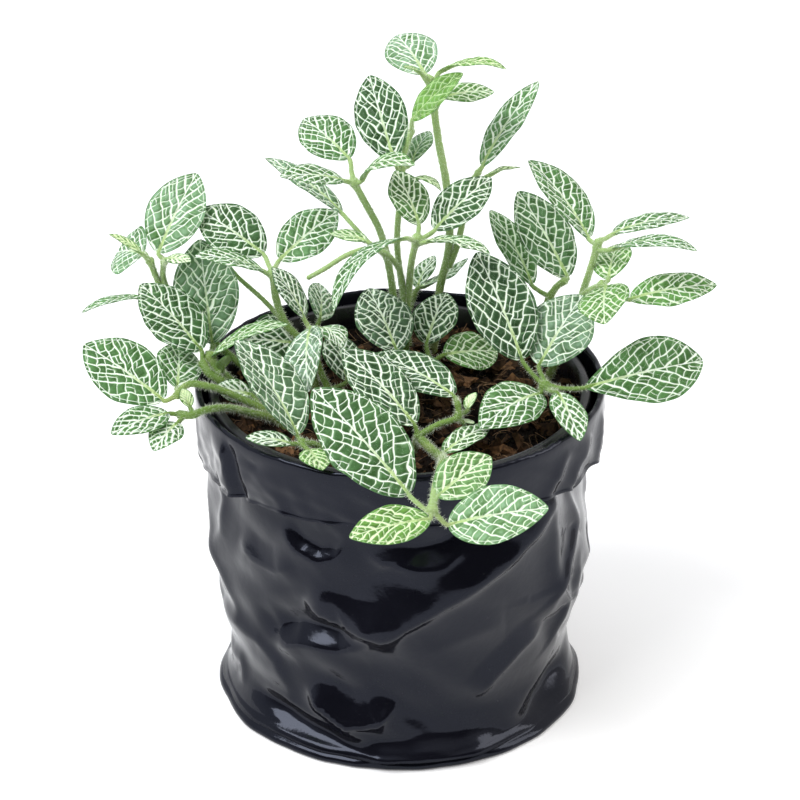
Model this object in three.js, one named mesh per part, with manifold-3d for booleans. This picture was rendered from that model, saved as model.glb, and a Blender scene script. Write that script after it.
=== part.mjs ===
// A potted nerve plant: a rooted net-veined plant in a nursery pot, inside a soft vinyl bag planter.
// Millimetres, +Z up, +X to the right and -Y to the front. The origin is the middle of the flat underside.
import * as THREE from "three";
import { mergeVertices } from "three/addons/utils/BufferGeometryUtils.js";
import Module from "manifold-3d";

const wasm = await Module();
wasm.setup();

// Bag planter: a soft tube welded to a round base, with its mouth folded out and down as a cuff.
const BAG_HEIGHT = 117;
const BAG_RADIUS = 61;
const BAG_MOUTH_RADIUS = 69.6;
const BAG_SKIN = 0.9;
const CUFF_DEPTH = 22;
const HEM_FLARE = 1.6;
const BAG_FLOOR = 1.2;
const HEM_TOP = 8;
const STRAIGHT_TOP = 55;
const SHOULDER_HEIGHT = 80;

// Nursery pot: a thin tapered tub with a thick rim, standing on the bag's base.
const POT_BASE_RADIUS = 47;
const POT_TOP_RADIUS = 62.4;
const POT_RIM_RADIUS = 64.9;
const POT_FLOOR = 1.6;
const POT_TOP = 114;
const POT_RIM_DEPTH = 6;
const POT_WALL = 1.2;
const DRAIN_HOLES = 6;
const DRAIN_RADIUS = 4;
const DRAIN_RING = 33;

// Potting soil, up to a few millimetres under the pot's rim.
const SOIL_EDGE = 106.8;
const SOIL_CROWN = 109;

const FIT_GAP = 0.35;
const ROUND_STEPS = 28;
const LEAF_THICKNESS = 0.8;
const PETIOLE_WIDTH = 1.5;
const STEM_SIDES = 6;
const STEM_STEP = 11;

// Stem routes, from the root end in the soil to the tip. One that grows from another is one body with it.
const STEMS = {
  tall_back: {
    radius: 1.5,
    route: [[11, 40, 97], [12, 41, 109], [14, 42, 130], [17, 42, 146], [16, 41, 169], [13, 39, 187],
      [10, 38, 210]],
  },
  tall_back_side: {
    radius: 1.2,
    growsFrom: "tall_back",
    route: [[17, 42, 138], [20, 42, 147], [22, 43, 157], [24, 42, 169], [27, 42, 174]],
  },
  high_left: {
    radius: 1.4,
    route: [[-3, 29, 97], [-3, 29, 109], [-2, 30, 127], [-4, 30, 145], [-7, 29, 158], [-11, 28, 167],
      [-16, 28, 177]],
  },
  middle: {
    radius: 1.4,
    route: [[2, 19, 97], [2, 20, 109], [2, 22, 128], [3, 22, 139], [4, 20, 151], [6, 18, 161]],
  },
  middle_runner: {
    radius: 1,
    growsFrom: "middle",
    route: [[2, 22, 130], [0, 21, 146], [-4, 17, 154], [-10, 14, 158], [-17, 12, 157], [-26, 10, 152],
      [-31, 10, 149]],
  },
  back_middle: {
    radius: 1.2,
    route: [[3, 38, 97], [3, 38, 109], [1, 37, 130], [-1, 36, 150], [0, 36, 167], [1, 37, 181],
      [4, 38, 191]],
  },
  left_back: {
    radius: 1.5,
    route: [[-28, 9, 97], [-29, 9, 109], [-33, 10, 124], [-39, 12, 131], [-42, 14, 139], [-43, 14, 150]],
  },
  left_back_twig: {
    radius: 0.9,
    growsFrom: "left_back",
    route: [[-34, 10, 125], [-38, 16, 127], [-46, 24, 133], [-56, 32, 139], [-60, 36, 142]],
  },
  inner_left: {
    radius: 1.2,
    route: [[-22, -2, 97], [-23, -2, 109], [-27, 0, 119], [-29, 0, 128], [-30, -1, 135]],
  },
  far_left: {
    radius: 1.3,
    route: [[-46, 12, 97], [-48, 12, 108], [-54, 15, 113], [-61, 18, 118], [-68, 22, 122], [-76, 26, 130],
      [-82, 25, 139], [-85, 20, 151]],
  },
  far_left_side: {
    radius: 1.1,
    growsFrom: "far_left",
    route: [[-80, 25, 137], [-81, 24, 143], [-80, 20, 151]],
  },
  left: {
    radius: 2.1,
    route: [[-47, -3, 97], [-50, -2, 108], [-56, -1, 114], [-61, 1, 117.5], [-65, 4, 123]],
  },
  left_side: {
    radius: 1.7,
    growsFrom: "left",
    route: [[-55, -1, 113], [-60.5, -2.5, 116.5], [-64.5, -1.5, 119], [-67, 1.5, 121.5]],
  },
  left_trailing_upper: {
    radius: 1.4,
    route: [[-38, -12, 97], [-43, -12, 108], [-54, -12, 115], [-63, -12, 119], [-71, -12, 120],
      [-75, -13, 116]],
  },
  left_trailing_lower: {
    radius: 1.4,
    route: [[-36, -16, 97], [-41, -16, 108], [-50, -20, 113.5], [-57, -25, 118], [-64, -30, 120],
      [-69, -32, 119], [-73, -31, 119]],
  },
  front_left: {
    radius: 1.3,
    route: [[-22, -42, 97], [-23, -43, 108], [-27, -47, 116], [-32, -51, 119]],
  },
  front: {
    radius: 1.5,
    route: [[5, -34, 97], [5, -35, 108], [6, -38, 115]],
  },
  front_trailing: {
    radius: 1.5,
    growsFrom: "front",
    route: [[6, -37, 114], [9, -42, 113], [13, -50, 113.5], [14, -60, 117.5], [13, -68, 119.5],
      [11, -77, 116], [10, -82, 111]],
  },
  front_side: {
    radius: 1.1,
    growsFrom: "front",
    route: [[6, -38, 114.5], [13, -36, 118], [19, -33, 119], [19, -31, 123]],
  },
  right_front: {
    radius: 1.6,
    route: [[43, -9, 97], [44, -10, 108], [47, -13, 117], [49, -14, 121]],
  },
  right_back: {
    radius: 1.4,
    route: [[40, 33, 97], [42, 34, 108], [48, 34, 121], [54, 32, 135], [57, 31, 138]],
  },
  right_tall: {
    radius: 1.4,
    route: [[49, 15, 97], [51, 16, 108], [58, 19, 122], [62, 19, 138], [65, 17, 151], [67, 16, 160]],
  },
  right_tall_side: {
    radius: 1.1,
    growsFrom: "right_tall",
    route: [[62, 18.5, 138], [65, 12, 144], [68, 7, 148]],
  },
  centre: {
    radius: 1.3,
    route: [[3, 6, 97], [3, 6, 109], [2, 5, 116], [0, 3, 122]],
  },
  back_low: {
    radius: 1.2,
    route: [[10, 11, 97], [10, 11, 109], [10, 13, 117]],
  },
  left_low: {
    radius: 1.2,
    route: [[-30, 26, 97], [-31, 26, 109], [-32, 28, 117]],
  },
};

// Leaves. Each grows from a stem at a share of its length; its blade runs from base to tip. Roll turns the
// blade about that line, arch lifts its middle by a share of its length, and cup lifts its edges. One marked
// joined is one body with its stem.
const LEAVES = [
  { name: "top_round", stem: "tall_back", at: 1, base: [8.5, 40, 210.5], tip: [-1, 61, 216.5], width: 18,
    roll: -15 },
  { name: "top_long", stem: "tall_back", at: 0.97, base: [13, 36, 213], tip: [35, 23, 219], width: 10,
    roll: -5, arch: 0.12, joined: true },
  { name: "top_young", stem: "tall_back", at: 0.975, base: [7, 36, 213], tip: [1, 33, 216], width: 5,
    joined: true },
  { name: "top_right", stem: "tall_back", at: 0.9, base: [14, 38, 203], tip: [32, 48, 201], width: 9,
    roll: 25, joined: true },
  { name: "high_right", stem: "tall_back_side", at: 1, base: [28, 42, 176], tip: [48, 65, 198], width: 11.5,
    roll: 5 },
  { name: "high_right_young", stem: "tall_back_side", at: 0.8, base: [30, 46, 171], tip: [42, 53, 171],
    width: 5, roll: -15, joined: true },
  { name: "high_dark", stem: "back_middle", at: 0.83, base: [-2, 34, 182], tip: [-10.5, 58, 203], width: 18,
    roll: -25 },
  { name: "high_green", stem: "back_middle", at: 1, base: [4, 33, 197], tip: [21, 27, 216], width: 11,
    roll: 45 },
  { name: "high_small_back", stem: "back_middle", at: 0.85, base: [4, 43, 177], tip: [10, 59, 182],
    width: 9, roll: -10, joined: true },
  { name: "high_small_right", stem: "back_middle", at: 0.8, base: [4, 41, 172], tip: [14, 37, 169],
    width: 8, roll: -15, arch: 0.2, joined: true },
  { name: "high_left_back", stem: "high_left", at: 1, base: [-17, 32, 183], tip: [-33, 53, 189], width: 18,
    roll: -20 },
  { name: "high_left_front", stem: "high_left", at: 0.99, base: [-19, 26, 178], tip: [-40, 15, 184],
    width: 12, roll: -15, joined: true },
  { name: "high_left_arched", stem: "high_left", at: 0.98, base: [-13, 26, 178], tip: [5, 15, 188],
    width: 12, roll: 10, arch: 0.2, joined: true },
  { name: "far_back", stem: "high_left", at: 0.62, base: [-20, 48, 156], tip: [-47, 61, 171], width: 12,
    joined: true },
  { name: "middle_upright", stem: "middle", at: 0.99, base: [6.5, 20, 164], tip: [-1.5, 33, 178.5],
    width: 15 },
  { name: "middle_right", stem: "middle", at: 0.97, base: [11.5, 18, 163], tip: [31, 35, 175], width: 15.5,
    roll: 20 },
  { name: "middle_low_right", stem: "middle", at: 0.95, base: [9, 14, 161], tip: [30, 1, 162], width: 10,
    roll: -5, arch: 0.1, joined: true },
  { name: "middle_drooping", stem: "middle", at: 0.98, base: [2, 10, 164], tip: [-22, -12, 147], width: 15,
    roll: 25, arch: 0.18 },
  { name: "runner_young", stem: "middle_runner", at: 0.48, base: [-11, 16, 160], tip: [-24, 22, 160],
    width: 8, roll: -5, joined: true },
  { name: "left_back_dark", stem: "left_back", at: 0.99, base: [-46, 19, 153.5], tip: [-69, 34, 163.5],
    width: 19, roll: -30 },
  { name: "left_back_edge", stem: "left_back", at: 0.96, base: [-46, 13, 150.5], tip: [-69, 5, 159],
    width: 15, arch: 0.08 },
  { name: "left_back_pale", stem: "left_back", at: 1, base: [-41, 20, 151], tip: [-21.5, 36, 162],
    width: 17, roll: 30 },
  { name: "twig_young", stem: "left_back_twig", at: 1, base: [-61, 37, 143], tip: [-65, 42, 147], width: 4,
    joined: true },
  { name: "inner_left_dark", stem: "inner_left", at: 1, base: [-32, 0, 139], tip: [-43, 8, 154], width: 15,
    roll: 15 },
  { name: "inner_left_folded", stem: "inner_left", at: 0.99, base: [-30, -5, 138], tip: [-30, -29, 126],
    width: 17, roll: 40, cup: 0.3 },
  { name: "inner_left_arched", stem: "inner_left", at: 0.92, base: [-27.5, -2.5, 136.5],
    tip: [-19.5, -11, 133], width: 13, roll: -12, arch: 0.22, joined: true },
  { name: "inner_left_shaded", stem: "inner_left", at: 0.4, base: [-18, 4, 113], tip: [-23, 22, 123],
    width: 14, roll: 12, joined: true },
  { name: "far_left_pale", stem: "far_left_side", at: 1, base: [-82, 20, 153.5], tip: [-69.5, 42, 173.5],
    width: 20, roll: 15 },
  { name: "far_left_broad", stem: "far_left", at: 0.99, base: [-87, 23.5, 152], tip: [-98, 40, 144.5],
    width: 19, roll: -45 },
  { name: "far_left_young", stem: "far_left", at: 1, base: [-87, 17, 155], tip: [-98, 17, 162], width: 6,
    joined: true },
  { name: "far_left_tiny", stem: "far_left_side", at: 0.9, base: [-79, 15, 154], tip: [-70, 8, 156],
    width: 7, roll: 10, joined: true },
  { name: "far_left_thin", stem: "far_left", at: 0.78, base: [-86, 28, 133], tip: [-108, 12, 135],
    width: 11, roll: 15, arch: 0.08, joined: true },
  { name: "left_low_broad", stem: "left_side", at: 1, base: [-67, 3, 125], tip: [-88.5, 20, 142], width: 20,
    roll: -20 },
  { name: "left_upright", stem: "left", at: 0.99, base: [-64, 12, 123], tip: [-69, 37, 151], width: 23,
    roll: -10 },
  { name: "left_inward", stem: "left", at: 0.97, base: [-64, 3, 123], tip: [-37.5, -1, 137], width: 13,
    arch: 0.1, joined: true },
  { name: "left_young", stem: "left", at: 0.75, base: [-60, -3, 121], tip: [-58, -6, 128], width: 6,
    joined: true },
  { name: "trailing_broad", stem: "left_trailing_upper", at: 1, base: [-79, -14, 115], tip: [-107, 4, 127],
    width: 22, roll: -30 },
  { name: "trailing_back", stem: "left_trailing_upper", at: 0.97, base: [-75, -9, 117], tip: [-76, 16, 121],
    width: 16, roll: 20 },
  { name: "trailing_inner", stem: "left_trailing_upper", at: 0.32, base: [-50, -8.5, 114.5],
    tip: [-62, -8.5, 117.5], width: 8, roll: -60, joined: true },
  { name: "trailing_front", stem: "left_trailing_lower", at: 1, base: [-76, -32, 120], tip: [-94, -45, 119],
    width: 13, roll: -15 },
  { name: "trailing_low", stem: "left_trailing_lower", at: 0.96, base: [-73, -35, 118],
    tip: [-80, -49, 115], width: 11, roll: -5, joined: true },
  { name: "trailing_young", stem: "left_trailing_lower", at: 0.9, base: [-69, -30, 121],
    tip: [-72, -26, 126], width: 5, joined: true },
  { name: "front_left_folded", stem: "front_left", at: 0.99, base: [-33, -48, 120], tip: [-54, -24, 143],
    width: 22, roll: 10, cup: 0.35 },
  { name: "front_left_small", stem: "front_left", at: 0.97, base: [-35, -51, 119], tip: [-50, -51, 121],
    width: 8, roll: -15, joined: true },
  { name: "front_left_young", stem: "front_left", at: 1, base: [-29.5, -55, 119], tip: [-24.5, -69, 119],
    width: 10.5, joined: true },
  { name: "front_inner", stem: "front", at: 1, base: [5, -37, 118], tip: [-19, -15, 135], width: 19,
    roll: -15 },
  { name: "front_inner_dark", stem: "front_side", at: 1, base: [18, -24, 122], tip: [-9, -1, 126],
    width: 18, roll: -10 },
  { name: "front_tiny_round", stem: "front_side", at: 0.8, base: [22, -30, 120], tip: [25, -25, 124],
    width: 6, roll: -25, joined: true },
  { name: "front_tiny_low", stem: "front_side", at: 0.75, base: [21, -33, 117], tip: [24, -30, 116],
    width: 5, joined: true },
  { name: "front_large", stem: "front_trailing", at: 1, base: [3, -77, 114.5], tip: [-28, -51, 139],
    width: 26, roll: -25 },
  { name: "front_down", stem: "front_trailing", at: 0.99, base: [9.5, -85, 110.5], tip: [-16, -95, 109.5],
    width: 14, roll: -30 },
  { name: "front_up", stem: "front_trailing", at: 0.97, base: [11.5, -79.5, 115.2], tip: [29, -66, 122.5],
    width: 16, roll: 25 },
  { name: "front_right", stem: "front_trailing", at: 0.99, base: [15, -84.5, 108], tip: [46.5, -90.5, 117.5],
    width: 20, roll: 40 },
  { name: "front_striped", stem: "front_trailing", at: 0.3, base: [14, -47, 113], tip: [30, -31, 115],
    width: 10, roll: 5, joined: true },
  { name: "right_large", stem: "right_front", at: 1, base: [61, -20, 123], tip: [101.5, -9, 127.5], width: 23,
    roll: 45 },
  { name: "right_broad", stem: "right_front", at: 0.99, base: [46.5, -8, 125], tip: [62, 12.5, 141.5],
    width: 23, roll: 15 },
  { name: "right_upright", stem: "right_front", at: 0.96, base: [41, -8, 127], tip: [26, 18, 155],
    width: 23, roll: -15 },
  { name: "right_low", stem: "right_front", at: 0.93, base: [47, -17, 119.5], tip: [26, -38, 117.5],
    width: 19, roll: -20, arch: 0.1 },
  { name: "right_hanging", stem: "right_front", at: 0.97, base: [52, -25, 124], tip: [58.5, -46, 117],
    width: 12, roll: -5, joined: true },
  { name: "right_back_tall", stem: "right_back", at: 1, base: [58, 33, 138], tip: [41, 53, 162],
    width: 19, roll: -20 },
  { name: "right_back_narrow", stem: "right_back", at: 0.8, base: [46, 38, 133], tip: [31.5, 57, 153],
    width: 14, roll: 5 },
  { name: "right_tall_folded", stem: "right_tall", at: 0.97, base: [64, 20, 159], tip: [44, 43, 178],
    width: 17, roll: 5, cup: 0.3 },
  { name: "right_tall_back", stem: "right_tall", at: 1, base: [72, 22, 160], tip: [99, 33, 161], width: 12,
    joined: true },
  { name: "right_tall_arched", stem: "right_tall", at: 0.95, base: [71, 10, 160], tip: [98, -5, 166],
    width: 12, roll: -5, arch: 0.1 },
  { name: "right_side_back", stem: "right_tall_side", at: 0.97, base: [70, 9, 149], tip: [75, 31, 152],
    width: 13.5, roll: -15, joined: true },
  { name: "right_side_front", stem: "right_tall_side", at: 1, base: [69, 4, 149], tip: [67, -23, 148],
    width: 18, roll: 20 },
  { name: "right_side_long", stem: "right_tall_side", at: 0.99, base: [77, 4, 144], tip: [107, 11, 146],
    width: 14, roll: 25 },
  { name: "centre_broad", stem: "centre", at: 1, base: [-1, 4, 124], tip: [-11, 27, 137], width: 20,
    roll: -5 },
  { name: "back_low_upright", stem: "back_low", at: 1, base: [9, 16, 121], tip: [16, 36, 131], width: 16 },
  { name: "back_low_pale", stem: "back_low", at: 0.95, base: [15, 14, 118], tip: [34, 28, 112], width: 16,
    roll: 35, joined: true },
  { name: "back_low_spotted", stem: "back_middle", at: 0.25, base: [6, 46, 128], tip: [12, 60, 134],
    width: 9, roll: -20, joined: true },
  { name: "back_low_edge", stem: "back_middle", at: 0.28, base: [6, 42, 130], tip: [24, 58, 134], width: 9,
    roll: -20, arch: -0.05, joined: true },
  { name: "left_low_dark", stem: "left_low", at: 0.9, base: [-36, 22, 118.5], tip: [-54, 20, 121],
    width: 19, roll: -50, joined: true },
  { name: "left_low_back", stem: "left_low", at: 1, base: [-28, 36.5, 120], tip: [-28.5, 56, 125],
    width: 12, roll: 35, joined: true },
];

const UP = new THREE.Vector3(0, 0, 1);
const point = (p) => new THREE.Vector3(...p);

function material(color, roughness, metalness = 0) {
  return new THREE.MeshStandardMaterial({ color, roughness, metalness });
}

// A closed body through rings of equally many points, each ring capped or joined to the next.
function loft(rings) {
  const count = rings[0].length;
  const positions = rings.flat().flatMap((p) => [p.x, p.y, p.z]);
  const faces = [];
  for (let r = 0; r + 1 < rings.length; r++)
    for (let k = 0; k < count; k++) {
      const a = r * count + k;
      const b = r * count + ((k + 1) % count);
      faces.push(a, b, b + count, a, b + count, a + count);
    }
  const last = (rings.length - 1) * count;
  for (let k = 1; k + 1 < count; k++) {
    faces.push(0, k + 1, k);
    faces.push(last, last + k, last + k + 1);
  }
  const geometry = new THREE.BufferGeometry();
  geometry.setAttribute("position", new THREE.Float32BufferAttribute(positions, 3));
  geometry.setIndex(faces);
  if (signedVolume(geometry) < 0) geometry.index.array.reverse();
  return geometry;
}

function signedVolume(geometry) {
  const p = geometry.getAttribute("position");
  const f = geometry.index.array;
  const corner = (i) => new THREE.Vector3().fromBufferAttribute(p, f[i]);
  let volume = 0;
  for (let i = 0; i < f.length; i += 3)
    volume += corner(i).dot(corner(i + 1).cross(corner(i + 2))) / 6;
  return volume;
}

function solid(geometry) {
  const bare = geometry.clone();
  bare.deleteAttribute("normal");
  bare.deleteAttribute("uv");
  const merged = mergeVertices(bare, 1e-4);
  return new wasm.Manifold(
    new wasm.Mesh({
      numProp: 3,
      vertProperties: new Float32Array(merged.getAttribute("position").array),
      triVerts: new Uint32Array(merged.index.array),
    }),
  );
}

function geometryOf(manifold) {
  const mesh = manifold.getMesh();
  const geometry = new THREE.BufferGeometry();
  geometry.setAttribute("position", new THREE.BufferAttribute(mesh.vertProperties, 3));
  geometry.setIndex(new THREE.BufferAttribute(mesh.triVerts, 1));
  return geometry;
}

// The body inside its outermost surface, with any pocket that a joined stalk closes off filled.
function outerBody(manifold) {
  return manifold.decompose().reduce((a, b) => (b.volume() > a.volume() ? b : a));
}

function turned(profile, steps = ROUND_STEPS) {
  const points = profile.map(([r, z]) => new THREE.Vector2(r, z));
  return new THREE.LatheGeometry(points, steps).rotateX(Math.PI / 2);
}

// The bag's section: its wall widens towards the mouth, folds over it and ends in a cuff clear of it.
function bagPlanter() {
  const mouth = BAG_MOUTH_RADIUS;
  const cuffEnd = BAG_HEIGHT - CUFF_DEPTH;
  const shoulder = BAG_RADIUS + 1.2;
  const neck = BAG_RADIUS + 3;
  const cuffInside = mouth - 2.8;
  const outside = [
    [0, 0], [BAG_RADIUS - 1, 0], [BAG_RADIUS + HEM_FLARE, 1.4], [BAG_RADIUS + HEM_FLARE / 2, 4],
    [BAG_RADIUS, HEM_TOP], [BAG_RADIUS, STRAIGHT_TOP], [shoulder, SHOULDER_HEIGHT], [neck, cuffEnd],
    [mouth - 3, BAG_HEIGHT - 7], [mouth - 2.4, BAG_HEIGHT - 3.4], [mouth - 1.4, BAG_HEIGHT - 3.4],
    [cuffInside, cuffEnd], [cuffInside + BAG_SKIN, cuffEnd - 0.4], [mouth, BAG_HEIGHT - 6],
    [mouth - 0.2, BAG_HEIGHT - 1.6], [mouth - 1.2, BAG_HEIGHT],
  ];
  const inside = [
    [cuffInside, BAG_HEIGHT - 0.4], [mouth - 3.7, BAG_HEIGHT - 4], [mouth - 4, BAG_HEIGHT - 8],
    [neck - BAG_SKIN, cuffEnd], [shoulder - BAG_SKIN, SHOULDER_HEIGHT],
    [BAG_RADIUS - BAG_SKIN, STRAIGHT_TOP], [BAG_RADIUS - BAG_SKIN, HEM_TOP],
    [BAG_RADIUS - 1.4, BAG_FLOOR], [0, BAG_FLOOR],
  ];
  return turned([...outside, ...inside]);
}

function nurseryPot() {
  const shell = solid(turned([
    [0, POT_FLOOR], [POT_BASE_RADIUS - 0.6, POT_FLOOR], [POT_BASE_RADIUS, POT_FLOOR + 0.6],
    [POT_TOP_RADIUS, POT_TOP - POT_RIM_DEPTH], [POT_RIM_RADIUS - 0.3, POT_TOP - POT_RIM_DEPTH + 0.3],
    [POT_RIM_RADIUS, POT_TOP - 1], [POT_RIM_RADIUS - 0.8, POT_TOP],
    [POT_TOP_RADIUS - POT_WALL + 0.4, POT_TOP], [POT_TOP_RADIUS - POT_WALL, POT_TOP - POT_RIM_DEPTH],
    [POT_BASE_RADIUS - POT_WALL, POT_FLOOR + POT_WALL], [0, POT_FLOOR + POT_WALL],
  ]));
  let pot = shell;
  for (let k = 0; k < DRAIN_HOLES; k++) {
    const angle = (k * 2 * Math.PI) / DRAIN_HOLES;
    const hole = new THREE.CylinderGeometry(DRAIN_RADIUS, DRAIN_RADIUS, 8, 12)
      .rotateX(Math.PI / 2)
      .translate(DRAIN_RING * Math.cos(angle), DRAIN_RING * Math.sin(angle), POT_FLOOR);
    pot = pot.subtract(solid(hole));
  }
  return geometryOf(pot);
}

// The soil fills the pot and has a socket round each stem's root end.
function pottingSoil(sockets) {
  const low = POT_FLOOR + POT_WALL + FIT_GAP;
  const wall = POT_WALL + FIT_GAP + 0.1;
  let soil = solid(turned([
    [0, low], [POT_BASE_RADIUS - wall, low], [POT_TOP_RADIUS - wall - 0.2, SOIL_EDGE],
    [50, SOIL_EDGE + 1.1], [30, SOIL_CROWN - 0.4], [0, SOIL_CROWN],
  ]));
  for (const socket of sockets) soil = soil.subtract(socket);
  return geometryOf(soil);
}

function routeOf(stem) {
  return new THREE.CatmullRomCurve3(stem.route.map(point), false, "centripetal");
}

// A round tube along a stem's route, a little thinner at the tip.
function stemTube(stem, extra = 0) {
  const curve = routeOf(stem);
  const steps = Math.max(4, Math.round(curve.getLength() / STEM_STEP));
  const frames = curve.computeFrenetFrames(steps);
  const rings = [];
  for (let i = 0; i <= steps; i++) {
    const centre = curve.getPointAt(i / steps);
    const radius = stem.radius * (1 - (0.2 * i) / steps) + extra;
    rings.push(ring(centre, frames.normals[i], frames.binormals[i], radius, radius, STEM_SIDES));
  }
  return solid(loft(rings));
}

function ring(centre, side, normal, halfWidth, halfHeight, sides) {
  return Array.from({ length: sides }, (_, k) => {
    const angle = (k * 2 * Math.PI) / sides;
    return centre.clone()
      .addScaledVector(side, halfWidth * Math.cos(angle))
      .addScaledVector(normal, halfHeight * Math.sin(angle));
  });
}

// The blade's own axes: along it, across it and out of its upper face.
function bladeAxes(leaf) {
  const along = point(leaf.tip).sub(point(leaf.base)).normalize();
  const level = along.clone().cross(UP).normalize();
  const upper = level.clone().cross(along);
  const roll = THREE.MathUtils.degToRad(leaf.roll ?? 0);
  const across = level.clone().multiplyScalar(Math.cos(roll)).addScaledVector(upper, -Math.sin(roll));
  const out = upper.clone().multiplyScalar(Math.cos(roll)).addScaledVector(level, Math.sin(roll));
  return { along, across, out };
}

// Where the leaf's stalk leaves its stem: just clear of the stem's side or end, or on its axis when joined.
function stalkStart(leaf) {
  const stem = STEMS[leaf.stem];
  const curve = routeOf(stem);
  const axis = curve.getPointAt(leaf.at);
  const tangent = curve.getTangentAt(leaf.at);
  const heading = point(leaf.base).sub(axis).normalize();
  if (leaf.joined) return axis;
  const half = PETIOLE_WIDTH / 2;
  const lean = heading.dot(tangent);
  const sideways = heading.clone().addScaledVector(tangent, -lean);
  const spread = sideways.length();
  if (lean > 0.5 && leaf.at > 0.9) {
    const tipGap = (FIT_GAP + half * spread) / lean;
    return curve.getPointAt(1).addScaledVector(heading, tipGap);
  }
  const radius = stem.radius * (1 - 0.2 * leaf.at);
  return axis.addScaledVector(sideways.normalize(), radius + FIT_GAP + half * Math.abs(lean));
}

const BLADE_SHARES = [0, 0.14, 0.45, 0.8, 1];

function bladeHalfWidth(share) {
  return share <= 0 || share >= 1 ? 0 : Math.sin(Math.PI * share ** 0.92) ** 0.62;
}

// A leaf: a short round stalk that widens into a thin blade, arched along and cupped across.
function leafBody(leaf) {
  const { along, across, out } = bladeAxes(leaf);
  const base = point(leaf.base);
  const length = base.distanceTo(point(leaf.tip));
  const start = stalkStart(leaf);
  const rings = [];
  const section = (centre, half, thickness, lift) =>
    [-1, 0, 1].map((k) => ({ k, up: 1 })).concat([1, 0, -1].map((k) => ({ k, up: -1 })))
      .map(({ k, up }) => centre.clone().addScaledVector(across, k * half)
        .addScaledVector(out, lift * Math.abs(k) * half + (up * thickness) / 2));
  rings.push(section(start, PETIOLE_WIDTH / 2, PETIOLE_WIDTH * 0.8, 0));
  for (const share of BLADE_SHARES) {
    const rise = (leaf.arch ?? 0.06) * length * 4 * share * (1 - share);
    const centre = base.clone().addScaledVector(along, share * length).addScaledVector(out, rise);
    const half = Math.max(PETIOLE_WIDTH / 3, bladeHalfWidth(share) * (leaf.width / 2));
    rings.push(section(centre, half, LEAF_THICKNESS, leaf.cup ?? 0.12));
  }
  return solid(loft(rings));
}

function build() {
  const plant = new THREE.Group();
  const add = (name, geometry, finish) => {
    const mesh = new THREE.Mesh(geometry, finish);
    mesh.name = name;
    plant.add(mesh);
  };
  add("bag_planter", bagPlanter(), material(0x16171b, 0.22));
  add("nursery_pot", nurseryPot(), material(0x101012, 0.35));
  const rooted = Object.values(STEMS).filter((stem) => !stem.growsFrom);
  add("potting_soil", pottingSoil(rooted.map((stem) => stemTube(stem, FIT_GAP))), material(0x2a1a12, 0.95));
  for (const [name, stem] of Object.entries(STEMS)) {
    if (stem.growsFrom) continue;
    const family = [name, ...Object.keys(STEMS).filter((other) => STEMS[other].growsFrom === name)];
    let body = stemTube(stem);
    for (const branch of family.slice(1)) body = body.add(stemTube(STEMS[branch]));
    for (const leaf of LEAVES)
      if (leaf.joined && family.includes(leaf.stem)) body = body.add(leafBody(leaf));
    add("stem_" + name, geometryOf(outerBody(body)), material(0x86a955, 0.6));
  }
  for (const leaf of LEAVES)
    if (!leaf.joined) add("leaf_" + leaf.name, geometryOf(leafBody(leaf)), material(0x4f8a56, 0.5));
  return plant;
}

export default build();
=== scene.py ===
"""The looks of a potted nerve plant: net-veined leaves on hairy stems, peat with bark chips, a nursery pot, and
the crumpled black vinyl bag round it. Tables and sizes are in millimetres, +X right, -Y to the front, +Z up;
meshes are made in metres."""
import math

import bpy
import numpy as np
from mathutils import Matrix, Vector


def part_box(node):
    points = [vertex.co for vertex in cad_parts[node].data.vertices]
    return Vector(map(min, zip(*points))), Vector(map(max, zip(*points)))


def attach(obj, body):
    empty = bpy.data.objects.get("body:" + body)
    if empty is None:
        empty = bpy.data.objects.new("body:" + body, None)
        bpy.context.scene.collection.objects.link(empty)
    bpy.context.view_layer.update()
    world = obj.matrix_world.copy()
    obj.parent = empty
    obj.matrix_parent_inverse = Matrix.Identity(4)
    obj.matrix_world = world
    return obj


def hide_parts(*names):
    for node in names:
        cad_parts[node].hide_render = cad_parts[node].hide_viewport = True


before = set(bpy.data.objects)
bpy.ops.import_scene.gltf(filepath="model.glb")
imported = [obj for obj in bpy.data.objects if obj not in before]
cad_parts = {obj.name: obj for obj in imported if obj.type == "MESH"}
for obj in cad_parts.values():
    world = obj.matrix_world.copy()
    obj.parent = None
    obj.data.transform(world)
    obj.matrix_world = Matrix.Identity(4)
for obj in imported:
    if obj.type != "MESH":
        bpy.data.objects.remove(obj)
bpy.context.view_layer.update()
MM = 0.001
UP = np.array([0.0, 0.0, 1.0])


def reach_of(node):
    """Radius and top height of a round CAD node, in millimetres."""
    low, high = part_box(node)
    return (high.x - low.x) / 2 / MM, high.z / MM


MOUTH_RADIUS, _ = reach_of("bag_planter")
POT_RIM_RADIUS, POT_HEIGHT = reach_of("nursery_pot")
SOIL_RADIUS, SOIL_CROWN = reach_of("potting_soil")
CUFF_OVERHANG = 8.6
WALL_RADIUS = MOUTH_RADIUS - CUFF_OVERHANG

# Net-veined leaves. A look that a leaf doesn't name is the usual one below.
LEAF_THICKNESS = 0.4
RIM_THICKNESS = 0.12
USUAL_ARCH = 0.06        # height of the midrib's arch, of the length
USUAL_CUP = 0.12         # how steeply the halves rise from the midrib
USUAL_WIDEST = 0.471     # where the blade is widest, of the length
EDGE_CURL = 0.045        # how far the edges curl down, of the width
EDGE_WAVE = 0.4          # height of the waves along the edges
OUTLINE_WAVER = 0.02     # unevenness of the outline, of the width
RUNG_PITCH = 1.9         # gap between the cross veins of the shortest leaves
RUNG_GROWTH = 33         # leaf length that widens it by a millimetre
USUAL_TINTS_AND_SHEEN = {"tone": 0.6, "young": 0.0, "haze": 0.1}    # paler green, yellow-green, a whitish sheen of reflected light painted into the colour
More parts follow.
